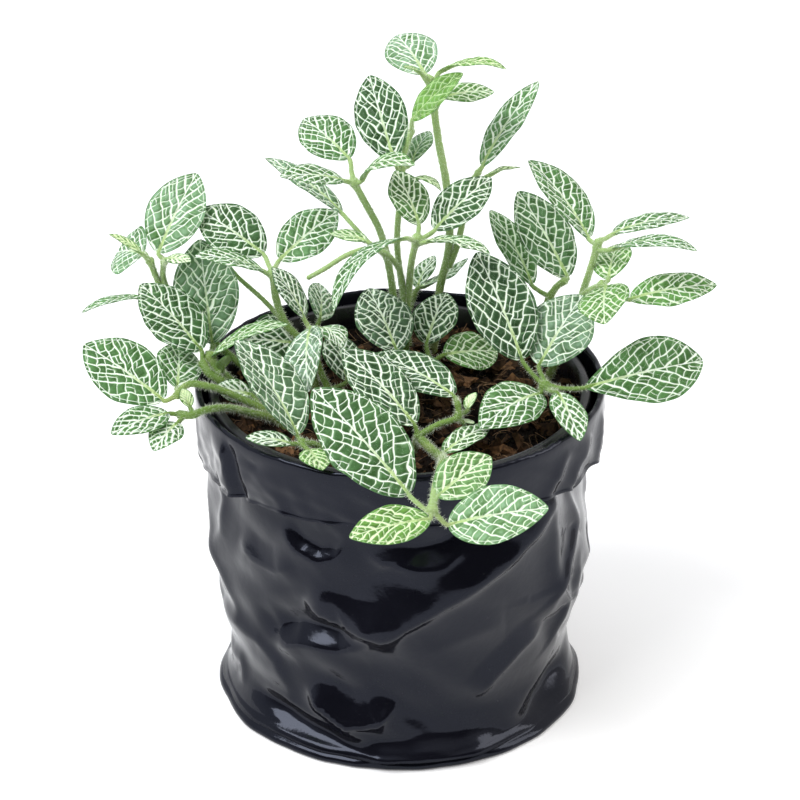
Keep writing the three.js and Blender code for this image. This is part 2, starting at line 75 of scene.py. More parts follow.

# The camera looks down on the plant from the front.
CAMERA_LENS = 135.27
CAMERA_DISTANCE = 1.0226
CAMERA_ELEVATION = 27.86
CAMERA_AIM = 0.1078

# Stem routes, root end first. One that branches from another says so.
STEMS = {
    "tall_back": dict(radius=1.5, route=[(11, 40, 97), (12, 41, 109), (14, 42, 130), (17, 42, 146),
        (16, 41, 169), (13, 39, 187), (10, 38, 210)]),
    "tall_back_side": dict(radius=1.2, grows_from="tall_back", route=[(17, 42, 138), (20, 42, 147),
        (22, 43, 157), (24, 42, 169), (27, 42, 174)]),
    "high_left": dict(radius=1.4, route=[(-3, 29, 97), (-3, 29, 109), (-2, 30, 127), (-4, 30, 145),
        (-7, 29, 158), (-11, 28, 167), (-16, 28, 177)]),
    "middle": dict(radius=1.4, route=[(2, 19, 97), (2, 20, 109), (2, 22, 128), (3, 22, 139), (4, 20, 151),
        (6, 18, 161)]),
    "middle_runner": dict(radius=1, grows_from="middle", route=[(2, 22, 130), (0, 21, 146), (-4, 17, 154),
        (-10, 14, 158), (-17, 12, 157), (-26, 10, 152), (-31, 10, 149)]),
    "back_middle": dict(radius=1.2, route=[(3, 38, 97), (3, 38, 109), (1, 37, 130), (-1, 36, 150),
        (0, 36, 167), (1, 37, 181), (4, 38, 191)]),
    "left_back": dict(radius=1.5, route=[(-28, 9, 97), (-29, 9, 109), (-33, 10, 124), (-39, 12, 131),
        (-42, 14, 139), (-43, 14, 150)]),
    "left_back_twig": dict(radius=0.9, grows_from="left_back", route=[(-34, 10, 125), (-38, 16, 127),
        (-46, 24, 133), (-56, 32, 139), (-60, 36, 142)]),
    "inner_left": dict(radius=1.2, route=[(-22, -2, 97), (-23, -2, 109), (-27, 0, 119), (-29, 0, 128),
        (-30, -1, 135)]),
    "far_left": dict(radius=1.3, route=[(-46, 12, 97), (-48, 12, 108), (-54, 15, 113), (-61, 18, 118),
        (-68, 22, 122), (-76, 26, 130), (-82, 25, 139), (-85, 20, 151)]),
    "far_left_side": dict(radius=1.1, grows_from="far_left", route=[(-80, 25, 137), (-81, 24, 143),
        (-80, 20, 151)]),
    "left": dict(radius=2.1, route=[(-47, -3, 97), (-50, -2, 108), (-56, -1, 114), (-61, 1, 117.5),
        (-65, 4, 123)]),
    "left_side": dict(radius=1.7, grows_from="left", route=[(-55, -1, 113), (-60.5, -2.5, 116.5),
        (-64.5, -1.5, 119), (-67, 1.5, 121.5)]),
    "left_trailing_upper": dict(radius=1.4, route=[(-38, -12, 97), (-43, -12, 108), (-54, -12, 115),
        (-63, -12, 119), (-71, -12, 120), (-75, -13, 116)]),
    "left_trailing_lower": dict(radius=1.4, route=[(-36, -16, 97), (-41, -16, 108), (-50, -20, 113.5),
        (-57, -25, 118), (-64, -30, 120), (-69, -32, 119), (-73, -31, 119)]),
    "front_left": dict(radius=1.3, route=[(-22, -42, 97), (-23, -43, 108), (-27, -47, 116),
        (-32, -51, 119)]),
    "front": dict(radius=1.5, route=[(5, -34, 97), (5, -35, 108), (6, -38, 115)]),
    "front_trailing": dict(radius=1.5, grows_from="front", route=[(6, -37, 114), (9, -42, 113),
        (13, -50, 113.5), (14, -60, 117.5), (13, -68, 119.5), (11, -77, 116), (10, -82, 111)]),
    "front_side": dict(radius=1.1, grows_from="front", route=[(6, -38, 114.5), (13, -36, 118),
        (19, -33, 119), (19, -31, 123)]),
    "right_front": dict(radius=1.6, route=[(43, -9, 97), (44, -10, 108), (47, -13, 117), (49, -14, 121)]),
    "right_back": dict(radius=1.4, route=[(40, 33, 97), (42, 34, 108), (48, 34, 121), (54, 32, 135),
        (57, 31, 138)]),
    "right_tall": dict(radius=1.4, route=[(49, 15, 97), (51, 16, 108), (58, 19, 122), (62, 19, 138),
        (65, 17, 151), (67, 16, 160)]),
    "right_tall_side": dict(radius=1.1, grows_from="right_tall", route=[(62, 18.5, 138), (65, 12, 144),
        (68, 7, 148)]),
    "centre": dict(radius=1.3, route=[(3, 6, 97), (3, 6, 109), (2, 5, 116), (0, 3, 122)]),
    "back_low": dict(radius=1.2, route=[(10, 11, 97), (10, 11, 109), (10, 13, 117)]),
    "left_low": dict(radius=1.2, route=[(-30, 26, 97), (-31, 26, 109), (-32, 28, 117)]),
}

# A leaf: its stem, the share along it where the stalk leaves, and the blade's base, tip and width.
# Roll turns the blade about its length, in degrees; arch lifts its middle by a share of its length; cup
# lifts its edges. Looks: tone 0 deep green to 1 mid green, the leaf's own green, which is also set low on
# leaves that lie in shade as painted shade; young 0 to 1 yellow-green; the sheen look a whitish sheen of
# reflected light painted into the colour; bold the weight of the veins; widest the share of the length
# where it is broadest. A joined leaf is one CAD body with its stem.
LEAVES = {}


def leaf(name, stem, at, base, tip, width, **look):
    LEAVES[name] = dict(stem=stem, at=at, base=base, tip=tip, width=width, look=look)


leaf("top_round", "tall_back", 1, (8.5, 40, 210.5), (-1, 61, 216.5), 18, roll=-15, tone=1.0, haze=0.8)
leaf("top_long", "tall_back", 0.97, (13, 36, 213), (35, 23, 219), 10, roll=-5, arch=0.12, joined=True,
     young=0.9)
leaf("top_young", "tall_back", 0.975, (7, 36, 213), (1, 33, 216), 5, joined=True, young=1.0, bold=0.4)
leaf("top_right", "tall_back", 0.9, (14, 38, 203), (32, 48, 201), 9, roll=25, joined=True, tone=0.9,
     young=0.3)
leaf("high_right", "tall_back_side", 1, (28, 42, 176), (48, 65, 198), 11.5, roll=5, tone=0.9, haze=0.3)
leaf("high_right_young", "tall_back_side", 0.8, (30, 46, 171), (42, 53, 171), 5, roll=-15, joined=True,
     young=0.8)
leaf("high_dark", "back_middle", 0.83, (-2, 34, 182), (-10.5, 58, 203), 18, roll=-25, tone=0.1)
leaf("high_green", "back_middle", 1, (4, 33, 197), (21, 27, 216), 11, roll=45, young=1.0, bold=0.25)
leaf("high_small_back", "back_middle", 0.85, (4, 43, 177), (10, 59, 182), 9, roll=-10, joined=True,
     tone=0.8, haze=0.4, bold=0.5)
leaf("high_small_right", "back_middle", 0.8, (4, 41, 172), (14, 37, 169), 8, roll=-15, arch=0.2,
     joined=True, young=0.6, tone=0.4)
leaf("high_left_back", "high_left", 1, (-17, 32, 183), (-33, 53, 189), 18, roll=-20)
leaf("high_left_front", "high_left", 0.99, (-19, 26, 178), (-40, 15, 184), 12, roll=-15, joined=True)
leaf("high_left_arched", "high_left", 0.98, (-13, 26, 178), (5, 15, 188), 12, roll=10, arch=0.2,
     joined=True, tone=0.9, young=0.2)
leaf("far_back", "high_left", 0.62, (-20, 48, 156), (-47, 61, 171), 12, joined=True, tone=0.5, haze=0.6)
leaf("middle_upright", "middle", 0.99, (6.5, 20, 164), (-1.5, 33, 178.5), 15, tone=0.25, young=0.2)
leaf("middle_right", "middle", 0.97, (11.5, 18, 163), (31, 35, 175), 15.5, roll=20, tone=0.15)
# Its low tone is partly painted shade: this leaf lies in shade among the others.
leaf("middle_low_right", "middle", 0.95, (9, 14, 161), (30, 1, 162), 10, roll=-5, arch=0.1, joined=True,
     tone=0.35, young=0.2)
leaf("middle_drooping", "middle", 0.98, (2, 10, 164), (-22, -12, 147), 15, roll=25, arch=0.18)
leaf("runner_young", "middle_runner", 0.48, (-11, 16, 160), (-24, 22, 160), 8, roll=-5, joined=True,
     young=0.6)
leaf("left_back_dark", "left_back", 0.99, (-46, 19, 153.5), (-69, 34, 163.5), 19, roll=-30, tone=0.2)
leaf("left_back_edge", "left_back", 0.96, (-46, 13, 150.5), (-69, 5, 159), 15, arch=0.08, tone=0.6)
leaf("left_back_pale", "left_back", 1, (-41, 20, 151), (-21.5, 36, 162), 17, roll=30, tone=0.8, haze=0.3)
leaf("twig_young", "left_back_twig", 1, (-61, 37, 143), (-65, 42, 147), 4, joined=True, tone=0.2)
leaf("inner_left_dark", "inner_left", 1, (-32, 0, 139), (-43, 8, 154), 15, roll=15, tone=0.1)
leaf("inner_left_folded", "inner_left", 0.99, (-30, -5, 138), (-30, -29, 126), 17, roll=40, cup=0.3,
     tone=0.3, haze=0.8)
leaf("inner_left_arched", "inner_left", 0.92, (-27.5, -2.5, 136.5), (-19.5, -11, 133), 13, roll=-12,
     arch=0.22, joined=True)
# Its lowest tone is partly painted shade: this leaf lies in the shade of the leaves above it.
leaf("inner_left_shaded", "inner_left", 0.4, (-18, 4, 113), (-23, 22, 123), 14, roll=12, joined=True,
     tone=0.0)
leaf("far_left_pale", "far_left_side", 1, (-82, 20, 153.5), (-69.5, 42, 173.5), 20, roll=15, tone=1.0,
     haze=0.7)
leaf("far_left_broad", "far_left", 0.99, (-87, 23.5, 152), (-98, 40, 144.5), 19, roll=-45, tone=0.8,
     haze=0.4)
leaf("far_left_young", "far_left", 1, (-87, 17, 155), (-98, 17, 162), 6, joined=True, young=0.9)
leaf("far_left_tiny", "far_left_side", 0.9, (-79, 15, 154), (-70, 8, 156), 7, roll=10, joined=True,
     young=0.5)
leaf("far_left_thin", "far_left", 0.78, (-86, 28, 133), (-108, 12, 135), 11, roll=15, arch=0.08,
     joined=True, tone=0.8)
leaf("left_low_broad", "left_side", 1, (-67, 3, 125), (-88.5, 20, 142), 20, roll=-20, tone=0.25)
leaf("left_upright", "left", 0.99, (-64, 12, 123), (-69, 37, 151), 23, roll=-10, tone=0.5, haze=0.5)
leaf("left_inward", "left", 0.97, (-64, 3, 123), (-37.5, -1, 137), 13, arch=0.1, joined=True, tone=0.9,
     young=0.3)
leaf("left_young", "left", 0.75, (-60, -3, 121), (-58, -6, 128), 6, joined=True, young=0.9)
leaf("trailing_broad", "left_trailing_upper", 1, (-79, -14, 115), (-107, 4, 127), 22, roll=-30, tone=0.5)
leaf("trailing_back", "left_trailing_upper", 0.97, (-75, -9, 117), (-76, 16, 121), 16, roll=20, tone=0.6)
leaf("trailing_inner", "left_trailing_upper", 0.32, (-50, -8.5, 114.5), (-62, -8.5, 117.5), 8, roll=-60,
     joined=True)
leaf("trailing_front", "left_trailing_lower", 1, (-76, -32, 120), (-94, -45, 119), 13, roll=-15)
leaf("trailing_low", "left_trailing_lower", 0.96, (-73, -35, 118), (-80, -49, 115), 11, roll=-5,
     joined=True)
leaf("trailing_young", "left_trailing_lower", 0.9, (-69, -30, 121), (-72, -26, 126), 5, joined=True,
     young=0.9)
leaf("front_left_folded", "front_left", 0.99, (-33, -48, 120), (-54, -24, 143), 22, roll=10, cup=0.35,
     tone=0.2, haze=0.3)
leaf("front_left_small", "front_left", 0.97, (-35, -51, 119), (-50, -51, 121), 8, roll=-15, joined=True,
     tone=0.1, young=0.05)
leaf("front_left_young", "front_left", 1, (-29.5, -55, 119), (-24.5, -69, 119), 10.5, joined=True,
     young=0.8)
leaf("front_inner", "front", 1, (5, -37, 118), (-19, -15, 135), 19, roll=-15, tone=0.0)
leaf("front_inner_dark", "front_side", 1, (18, -24, 122), (-9, -1, 126), 18, roll=-10, tone=0.05)
leaf("front_tiny_round", "front_side", 0.8, (22, -30, 120), (25, -25, 124), 6, roll=-25, joined=True,
     young=0.7)
leaf("front_tiny_low", "front_side", 0.75, (21, -33, 117), (24, -30, 116), 5, joined=True, young=0.7)
leaf("front_large", "front_trailing", 1, (3, -77, 114.5), (-28, -51, 139), 26, roll=-25, tone=0.3, bold=1.1)
leaf("front_down", "front_trailing", 0.99, (9.5, -85, 110.5), (-16, -95, 109.5), 14, roll=-30, young=0.75,
     tone=0.8)
leaf("front_up", "front_trailing", 0.97, (11.5, -79.5, 115.2), (29, -66, 122.5), 16, roll=25, young=0.5,
     tone=0.9, haze=0.3)
leaf("front_right", "front_trailing", 0.99, (15, -84.5, 108), (46.5, -90.5, 117.5), 20, roll=40, young=0.2,
     tone=1.0, haze=0.6)
# Its low tone is partly painted shade: this leaf lies in shade at the plant's middle.
leaf("front_striped", "front_trailing", 0.3, (14, -47, 113), (30, -31, 115), 10, roll=5, joined=True,
     tone=0.3, young=0.15)
leaf("right_large", "right_front", 1, (61, -20, 123), (101.5, -9, 127.5), 23, roll=45, tone=0.5, widest=0.6)
leaf("right_broad", "right_front", 0.99, (46.5, -8, 125), (62, 12.5, 141.5), 23, roll=15, tone=0.4,
     haze=0.7)
leaf("right_upright", "right_front", 0.96, (41, -8, 127), (26, 18, 155), 23, roll=-15, tone=0.0)
leaf("right_low", "right_front", 0.93, (47, -17, 119.5), (26, -38, 117.5), 19, roll=-20, arch=0.1, tone=0.6)
leaf("right_hanging", "right_front", 0.97, (52, -25, 124), (58.5, -46, 117), 12, roll=-5, joined=True)
leaf("right_back_tall", "right_back", 1, (58, 33, 138), (41, 53, 162), 19, roll=-20, tone=0.4, haze=0.2)
leaf("right_back_narrow", "right_back", 0.8, (46, 38, 133), (31.5, 57, 153), 14, roll=5)
leaf("right_tall_folded", "right_tall", 0.97, (64, 20, 159), (44, 43, 178), 17, roll=5, cup=0.3)
leaf("right_tall_back", "right_tall", 1, (72, 22, 160), (99, 33, 161), 12, joined=True)
leaf("right_tall_arched", "right_tall", 0.95, (71, 10, 160), (98, -5, 166), 12, roll=-5, arch=0.1)
leaf("right_side_back", "right_tall_side", 0.97, (70, 9, 149), (75, 31, 152), 13.5, roll=-15, joined=True,
     young=0.45, tone=0.8)
leaf("right_side_front", "right_tall_side", 1, (69, 4, 149), (67, -23, 148), 18, roll=20, young=0.45,
     tone=0.8)
leaf("right_side_long", "right_tall_side", 0.99, (77, 4, 144), (107, 11, 146), 14, roll=25, tone=0.9,
     young=0.2)
leaf("centre_broad", "centre", 1, (-1, 4, 124), (-11, 27, 137), 20, roll=-5, tone=0.0, haze=0.25)
leaf("back_low_upright", "back_low", 1, (9, 16, 121), (16, 36, 131), 16, tone=0.0)
leaf("back_low_pale", "back_low", 0.95, (15, 14, 118), (34, 28, 112), 16, roll=35, joined=True, tone=0.6,
     young=0.3)
leaf("back_low_spotted", "back_middle", 0.25, (6, 46, 128), (12, 60, 134), 9, roll=-20, joined=True,
     tone=0.5)
leaf("back_low_edge", "back_middle", 0.28, (6, 42, 130), (24, 58, 134), 9, roll=-20, arch=-0.05,
     joined=True)
# Its low tone is partly painted shade: this leaf lies in the shade below the leaves over it.
leaf("left_low_dark", "left_low", 0.9, (-36, 22, 118.5), (-54, 20, 121), 19, roll=-50, joined=True,
     tone=0.1)
leaf("left_low_back", "left_low", 1, (-28, 36.5, 120), (-28.5, 56, 125), 12, roll=35, joined=True, tone=0.5,
     haze=0.5)


# ---- stage ----

def make_camera():
    camera = bpy.data.objects.new("view_camera", bpy.data.cameras.new("view_camera"))
    elevation = math.radians(CAMERA_ELEVATION)
    height = CAMERA_AIM + CAMERA_DISTANCE * math.sin(elevation)
    camera.data.sensor_width = 36
    camera.data.lens = CAMERA_LENS
    camera.data.clip_start = 0.05
    camera.location = (0, -CAMERA_DISTANCE * math.cos(elevation), height)
    camera.rotation_euler = (math.pi / 2 - elevation, 0, 0)
    bpy.context.collection.objects.link(camera)
    bpy.context.scene.camera = camera


def make_lamp(name, place, target, size, power, colour=(1, 1, 1)):
    lamp = bpy.data.objects.new(name, bpy.data.lights.new(name, "AREA"))
    lamp.data.shape = "RECTANGLE"
    lamp.data.size, lamp.data.size_y = size
    lamp.data.energy = power
    lamp.data.color = colour
    lamp.location = place
    lamp.rotation_euler = (Vector(target) - Vector(place)).to_track_quat("-Z", "Y").to_euler()
    bpy.context.collection.objects.link(lamp)


def make_room():
    """A white studio that is darker towards the front, so that the vinyl has something dark to mirror."""
    world = bpy.data.worlds.new("studio")
    bpy.context.scene.world = world
    world.use_nodes = True
    nodes = Nodes(world.node_tree)
    background = world.node_tree.nodes["Background"]
    x, y, z = nodes.split(nodes.add("ShaderNodeTexCoord", out="Generated"))
    front = nodes.ramp(y, -0.15, -0.65)
    low = nodes.ramp(z, 0.85, 0.45)
    dark = nodes.times(front, low)
    white = nodes.blend(nodes.ramp(x, -0.5, 0.5), (0.92, 0.96, 1.04), (1.0, 0.98, 0.97))
    colour = nodes.blend(dark, white, (0.02, 0.021, 0.026))
    nodes.link(colour, background.inputs["Color"])
    background.inputs["Strength"].default_value = 0.85
    make_lamp("key_softbox", (-0.95, -0.6, 1.5), (0, 0, 0.1), (1.3, 0.8), 29)
    make_lamp("right_softbox", (1.3, -0.1, 0.9), (0, 0, 0.1), (0.5, 1.1), 7, (1.0, 0.96, 0.92))


def make_floor():
    half = 8.0
    corners = [(-half, -half, 0), (half, -half, 0), (half, half, 0), (-half, half, 0)]
    mesh = bpy.data.meshes.new("floor")
    mesh.from_pydata(corners, [], [(0, 1, 2, 3)])
    floor = bpy.data.objects.new("floor", mesh)
    bpy.context.collection.objects.link(floor)
    material, nodes, shader = new_material("white table", roughness=0.6)
    grain = nodes.noise(nodes.place(), 60, 4)
    shade = nodes.blend(grain, (0.93, 0.93, 0.935), (0.96, 0.96, 0.965))
    nodes.link(shade, shader.inputs["Base Color"])
    shader.inputs["Emission Color"].default_value = (1, 1, 1, 1)
    shader.inputs["Emission Strength"].default_value = 0.2
    mesh.materials.append(material)


# ---- node trees ----

class Nodes:
    """Adds nodes to a tree. An input is given a value, or another node's output to link."""

    def __init__(self, tree):
        self.tree = tree

    def link(self, source, target):
        self.tree.links.new(source, target)

    def add(self, kind, *values, out=0, inputs=(), **settings):
        node = self.tree.nodes.new(kind)
        for key, value in settings.items():
            setattr(node, key, value)
        for key, value in [*enumerate(values), *dict(inputs).items()]:
            if isinstance(value, bpy.types.NodeSocket):
                self.link(value, node.inputs[key])
            elif value is not None:
                node.inputs[key].default_value = value
        return node.outputs[out]

    def maths(self, operation, *values):
        return self.add("ShaderNodeMath", *values, operation=operation)

    def times(self, first, second):
        return self.maths("MULTIPLY", first, second)

    def plus(self, first, second):
        return self.maths("ADD", first, second)

    def chance(self, *place):
        """An even random number from 0 to 1 for each place."""
        spot = self.add("ShaderNodeCombineXYZ", *place)
        return self.add("ShaderNodeTexWhiteNoise", spot, noise_dimensions="3D")

    def split(self, vector):
        self.add("ShaderNodeSeparateXYZ", vector)
        return self.tree.nodes[-1].outputs[:3]

    def ramp(self, value, start, end, low=0.0, high=1.0):
        """Rises smoothly from low to high as value goes from start to end."""
        return self.add("ShaderNodeMapRange", value, start, end, low, high, interpolation_type="SMOOTHSTEP")

    def blend(self, factor, first, second, mode="MIX"):
        paint = [(*c, 1) if isinstance(c, tuple) else c for c in (first, second)]
        return self.add("ShaderNodeMix", factor, out=2, data_type="RGBA", blend_type=mode,
                        inputs={6: paint[0], 7: paint[1]})

    def place(self, scale=(1, 1, 1)):
        spot = self.add("ShaderNodeTexCoord", out="Object")
        return spot if scale == (1, 1, 1) else self.add("ShaderNodeMapping", spot, inputs={"Scale": scale})

    def noise(self, place, scale, detail=2.0, roughness=0.5, out=0):
        return self.add("ShaderNodeTexNoise", out=out,
                        inputs={"Vector": place, "Scale": scale, "Detail": detail, "Roughness": roughness})

    def attribute(self, name):
        return self.split(self.add("ShaderNodeAttribute", out="Vector", attribute_name=name))

    def bump(self, height, distance, strength=1.0, normal=None):
        return self.add("ShaderNodeBump", inputs={"Height": height, "Distance": distance, "Strength": strength,
                                                  "Normal": normal})


def new_material(name, **settings):
    """A material with its node maker and its shader, whose named sockets take the settings."""
    material = bpy.data.materials.new(name)
    material.use_nodes = True
    shader = material.node_tree.nodes["Principled BSDF"]
    for key, value in settings.items():
        shader.inputs[key.replace("_", " ").title().replace("Ior", "IOR")].default_value = value
    return material, Nodes(material.node_tree), shader


def keep_modifiers(piece):
    """Makes the piece's mesh what its modifiers show, and removes them."""
    graph = bpy.context.evaluated_depsgraph_get()
    mesh = bpy.data.meshes.new_from_object(piece.evaluated_get(graph), preserve_all_data_layers=True,
                                           depsgraph=graph)
    piece.modifiers.clear()
    piece.data = mesh


def run_tree(piece, tree, **values):
    """Runs a geometry node tree on a piece and keeps its result as the piece's plain mesh."""
    modifier = piece.modifiers.new(tree.name, "NODES")
    modifier.node_group = tree
    for item in tree.interface.items_tree:
        if item.in_out == "INPUT" and item.name in values:
            modifier[item.identifier] = values[item.name]
    keep_modifiers(piece)


def new_tree(name, **inputs):
    """A geometry node tree with named inputs. Returns the tree, its node maker and its inputs by name."""
    tree = bpy.data.node_groups.new(name, "GeometryNodeTree")
    tree.interface.new_socket("Geometry", in_out="INPUT", socket_type="NodeSocketGeometry")
    for key, kind in inputs.items():
        tree.interface.new_socket(key, in_out="INPUT", socket_type="NodeSocket" + kind)
    tree.interface.new_socket("Geometry", in_out="OUTPUT", socket_type="NodeSocketGeometry")
    entry = tree.nodes.new("NodeGroupInput")
    return tree, Nodes(tree), entry.outputs


def end_tree(tree, nodes, base, scattered, material):
    """Realizes the scattered copies, gives them their material and joins them to the base."""
    real = nodes.add("GeometryNodeRealizeInstances", scattered)
    dressed = nodes.add("GeometryNodeSetMaterial", real, inputs={"Material": material})
    joined = nodes.add("GeometryNodeJoinGeometry")
    nodes.link(dressed, joined.node.inputs[0])
    nodes.link(base, joined.node.inputs[0])
    nodes.link(joined, tree.nodes.new("NodeGroupOutput").inputs[0])


def scatter(nodes, entry, chosen, shape, lean, size, kind):
    """Copies of a shape at random places of the chosen faces, stood on them, then leant and sized at random."""
    points = nodes.add("GeometryNodeDistributePointsOnFaces", entry["Geometry"],
                       inputs={"Density": entry["Density"], "Seed": entry["Seed"], "Selection": chosen})
    leaning = random_value(nodes, (-lean, -lean, 0.0), (lean, lean, 6.28), 1, "FLOAT_VECTOR")
    turned = nodes.add("FunctionNodeRotateRotation", points.node.outputs["Rotation"], leaning,
                       rotation_space="LOCAL")
    return nodes.add("GeometryNodeInstanceOnPoints", points, inputs={
        "Instance": shape, "Rotation": turned, "Scale": random_value(nodes, *size, 2, kind)})


def random_value(nodes, low, high, seed, kind="FLOAT"):
    node = nodes.add("FunctionNodeRandomValue", data_type=kind).node
    sockets = [s for s in node.inputs if s.enabled]
    sockets[0].default_value, sockets[1].default_value = low, high
    node.inputs["Seed"].default_value = seed
    return next(s for s in node.outputs if s.enabled)


# ---- leaves ----

GRID_STEP = 0.45
BLADE_ENDS = (0.012, 0.994)
TIP_HALF_WIDTH = 0.12
BASE_HALF_WIDTH = 0.55
UNDER_RIM = 1.6          # how far in from the edge a leaf reaches its full thickness
# The shader and the mesh place the net of veins alike: these numbers shift one strip between two side
# veins against the next, so that the cross veins don't line up.
HALF_SHIFT, STRIP_SHIFT, SIDE_SHIFT = 0.45, 0.618, 0.37
SLANT_TURN, SLANT_SIDE = 12.99, 4.1
# Side veins: how steeply they rise at the leaf's base, how much more they rise further on, the share of the
# length over which that comes, and what the rest of the length adds.
SLOPE_START, SLOPE_GAIN, SLOPE_REACH, SLOPE_GROWTH = 0.35, 1.15, 0.15, 0.5
VEIN_BOW = 0.3           # how much more steeply they rise towards the edge
# Their number grows as a power of the distance from the base, counted from a little before it.
VEIN_COUNT, VEIN_COUNT_LENGTH, VEIN_POWER, VEIN_LEAD = 5.2, 20, 0.75, 0.03


def unit(vector):
    return vector / np.linalg.norm(vector)


def smooth(value, start, end):
    share = np.clip((value - start) / (end - start), 0, 1)
    return share * share * (3 - 2 * share)


def bell(value, middle, width):
    return np.exp(-((value - middle) / width) ** 2)


def blade_axes(shape):
    """The blade's own axes: along it, across it and out of its upper face."""
    along = unit(np.subtract(shape["tip"], shape["base"]).astype(float))
    level = unit(np.cross(along, UP))
    upper = np.cross(level, along)
    roll = math.radians(shape["look"].get("roll", 0.0))
    across = level * math.cos(roll) - upper * math.sin(roll)
    out = upper * math.cos(roll) + level * math.sin(roll)
    return along, across, out


def half_width(shape, share):
    """Half the blade's width at a share of its length."""
    power = math.log(0.5) / math.log(shape["look"].get("widest", USUAL_WIDEST))
    bow = np.sin(math.pi * share ** power)
    return bow ** (0.62 + 0.13 * share) * shape["width"] / 2


def ripple(rng, x, y, pitch):
    """A smooth irregular wave of height 1 over the blade."""
    wave = 0
    for _ in range(4):
        turn, phase = rng.uniform(0, 2 * math.pi, 2)
        scale = 2 * math.pi / pitch * rng.uniform(0.6, 1.5)
        wave = wave + np.sin(scale * (x * math.cos(turn) + y * math.sin(turn)) + phase) / 2.4
    return wave


def vein_field(x, y, length, half):
    """Side veins as level lines: their count from the base, the way along one, and the gap between two.

    A line of equal way crosses the side veins squarely, as a cross vein does.
    """
    x = np.abs(x)
    bend = VEIN_BOW / half
    reach = SLOPE_REACH * length

    def slope(start):
        start = np.maximum(start, 0)
        return SLOPE_START + SLOPE_GAIN * (1 - np.exp(-start / reach)) + SLOPE_GROWTH * start / length

    low, high = np.full_like(x, -1.5 * length), np.full_like(x, 1.1 * length)
    for _ in range(36):
        middle = (low + high) / 2
        over = middle + slope(middle) * x + bend * x * x > y
        high, low = np.where(over, middle, high), np.where(over, low, middle)
    start = (low + high) / 2
    share = np.maximum(start / length, -0.02)
    rate = VEIN_COUNT + length / VEIN_COUNT_LENGTH
    count = rate * ((share + VEIN_LEAD) ** VEIN_POWER - VEIN_LEAD ** VEIN_POWER)
    count_rate = rate * VEIN_POWER * (share + VEIN_LEAD) ** (VEIN_POWER - 1) / length
    count = count + np.minimum(start / length + 0.02, 0) * length * count_rate
    steep = slope(start) + 2 * bend * x
    spread = 1 + x * np.where(start > 0, SLOPE_GAIN / reach * np.exp(-start / reach), 0)
    gap = spread / (count_rate * np.sqrt(1 + steep * steep))
    way = x * np.sqrt(1 + (slope(start) + bend * x) ** 2) + start * steep / np.sqrt(1 + steep * steep)
    return count, way, gap


def vein_relief(count, reach, gap, x, margin, pitch, seed):
    """How deep each point lies in the net of sunken veins, 0 to 1."""
    side = (x > 0).astype(float)
    which = count + HALF_SHIFT * side
    strip = np.floor(which)
    place = which - strip
    off_side = np.minimum(place, 1 - place) * gap
    start = np.mod(STRIP_SHIFT * (strip + seed) + SIDE_SHIFT * side, 1)
    slant = 0.5 * np.sin(SLANT_TURN * (strip + seed) + SLANT_SIDE * side)
    rung = np.mod(reach / pitch + start + 0.5 * place * (1 - place) + slant * (place - 0.5), 1)
    off_rung = np.minimum(rung, 1 - rung) * pitch
    sunk = bell(x, 0, 0.7) + 0.7 * bell(off_side, 0, 0.45) + 0.45 * bell(off_rung, 0, 0.4)
    return np.minimum(sunk, 1.2) * smooth(margin, 0.1, 0.9)


def leaf_grid(shape, rng):
    """The blade's upper surface as a grid of points, with what its material needs at each."""
    look = shape["look"]
    along, across, out = blade_axes(shape)
    base = np.array(shape["base"], float)
    length = np.linalg.norm(np.subtract(shape["tip"], base))
    widest = shape["width"] / 2
    rows = max(14, round(length / GRID_STEP))
    columns = 2 * max(3, round(widest / GRID_STEP)) + 1
    first, last = (math.acos(1 - 2 * share) / math.pi for share in BLADE_ENDS)
    share = (1 - np.cos(math.pi * np.linspace(first, last, rows))) / 2
    side = np.linspace(-1, 1, columns)
    share, side = np.meshgrid(share, side, indexing="ij")
    floor_width = BASE_HALF_WIDTH + (TIP_HALF_WIDTH - BASE_HALF_WIDTH) * smooth(share, 0, 0.3)
    half = np.maximum(half_width(shape, share), floor_width)
    wavy = 1 + OUTLINE_WAVER * ripple(rng, side * 6, share * length, 9)
    x = side * half * wavy
    y = share * length

    slope = np.gradient(half[:, 0], y[:, 0])[:, None]
    margin = (half - np.abs(x)) / np.sqrt(1 + slope * slope)
    calm = smooth(np.abs(x), 0, 2)
    warp_x = x + calm * (0.35 * ripple(rng, x, y, 9) + 0.16 * ripple(rng, x, y, 4))
    warp_y = y + calm * (0.60 * ripple(rng, x, y, 8) + 0.22 * ripple(rng, x, y, 4))
    count, reach, gap = vein_field(warp_x, warp_y, length, widest)
    pitch = RUNG_PITCH + length / RUNG_GROWTH
    seed = rng.integers(0, 60)
    sunk = vein_relief(count, reach, gap, x, margin, pitch, seed)

    arch = look.get("arch", USUAL_ARCH) * length * 4 * share * (1 - share)
    fold = look.get("cup", USUAL_CUP) * (np.sqrt(x * x + 0.6) - math.sqrt(0.6))
    edge = np.abs(x) / widest
    curl = -EDGE_CURL * shape["width"] * edge ** 4
    wave = EDGE_WAVE * edge ** 2 * ripple(rng, side * 4, y, 13)
    lift = arch + fold + curl + wave + 0.34 * (smooth(margin, 0, 1.5) - sunk)
    points = base + along * y[..., None] + across * x[..., None] + out * lift[..., None]
    fields = dict(
        vein_place=np.stack([count, reach, gap], -1),
        blade_place=np.stack([x, share, margin], -1),
        net_look=np.stack([np.full_like(x, v) for v in (pitch, seed, look.get("bold", 1.0))], -1),
        leaf_tint_and_sheen=np.stack([np.full_like(x, look.get(key, usual)) for key, usual in USUAL_TINTS_AND_SHEEN.items()], -1),
    )
    return points, margin, fields


def grid_faces(rows, columns, start=0, flip=False):
    i, j = np.meshgrid(np.arange(rows - 1), np.arange(columns - 1), indexing="ij")
    a = start + i * columns + j
    faces = np.stack([a, a + columns, a + columns + 1, a + 1], -1).reshape(-1, 4)
    return faces[:, ::-1] if flip else faces


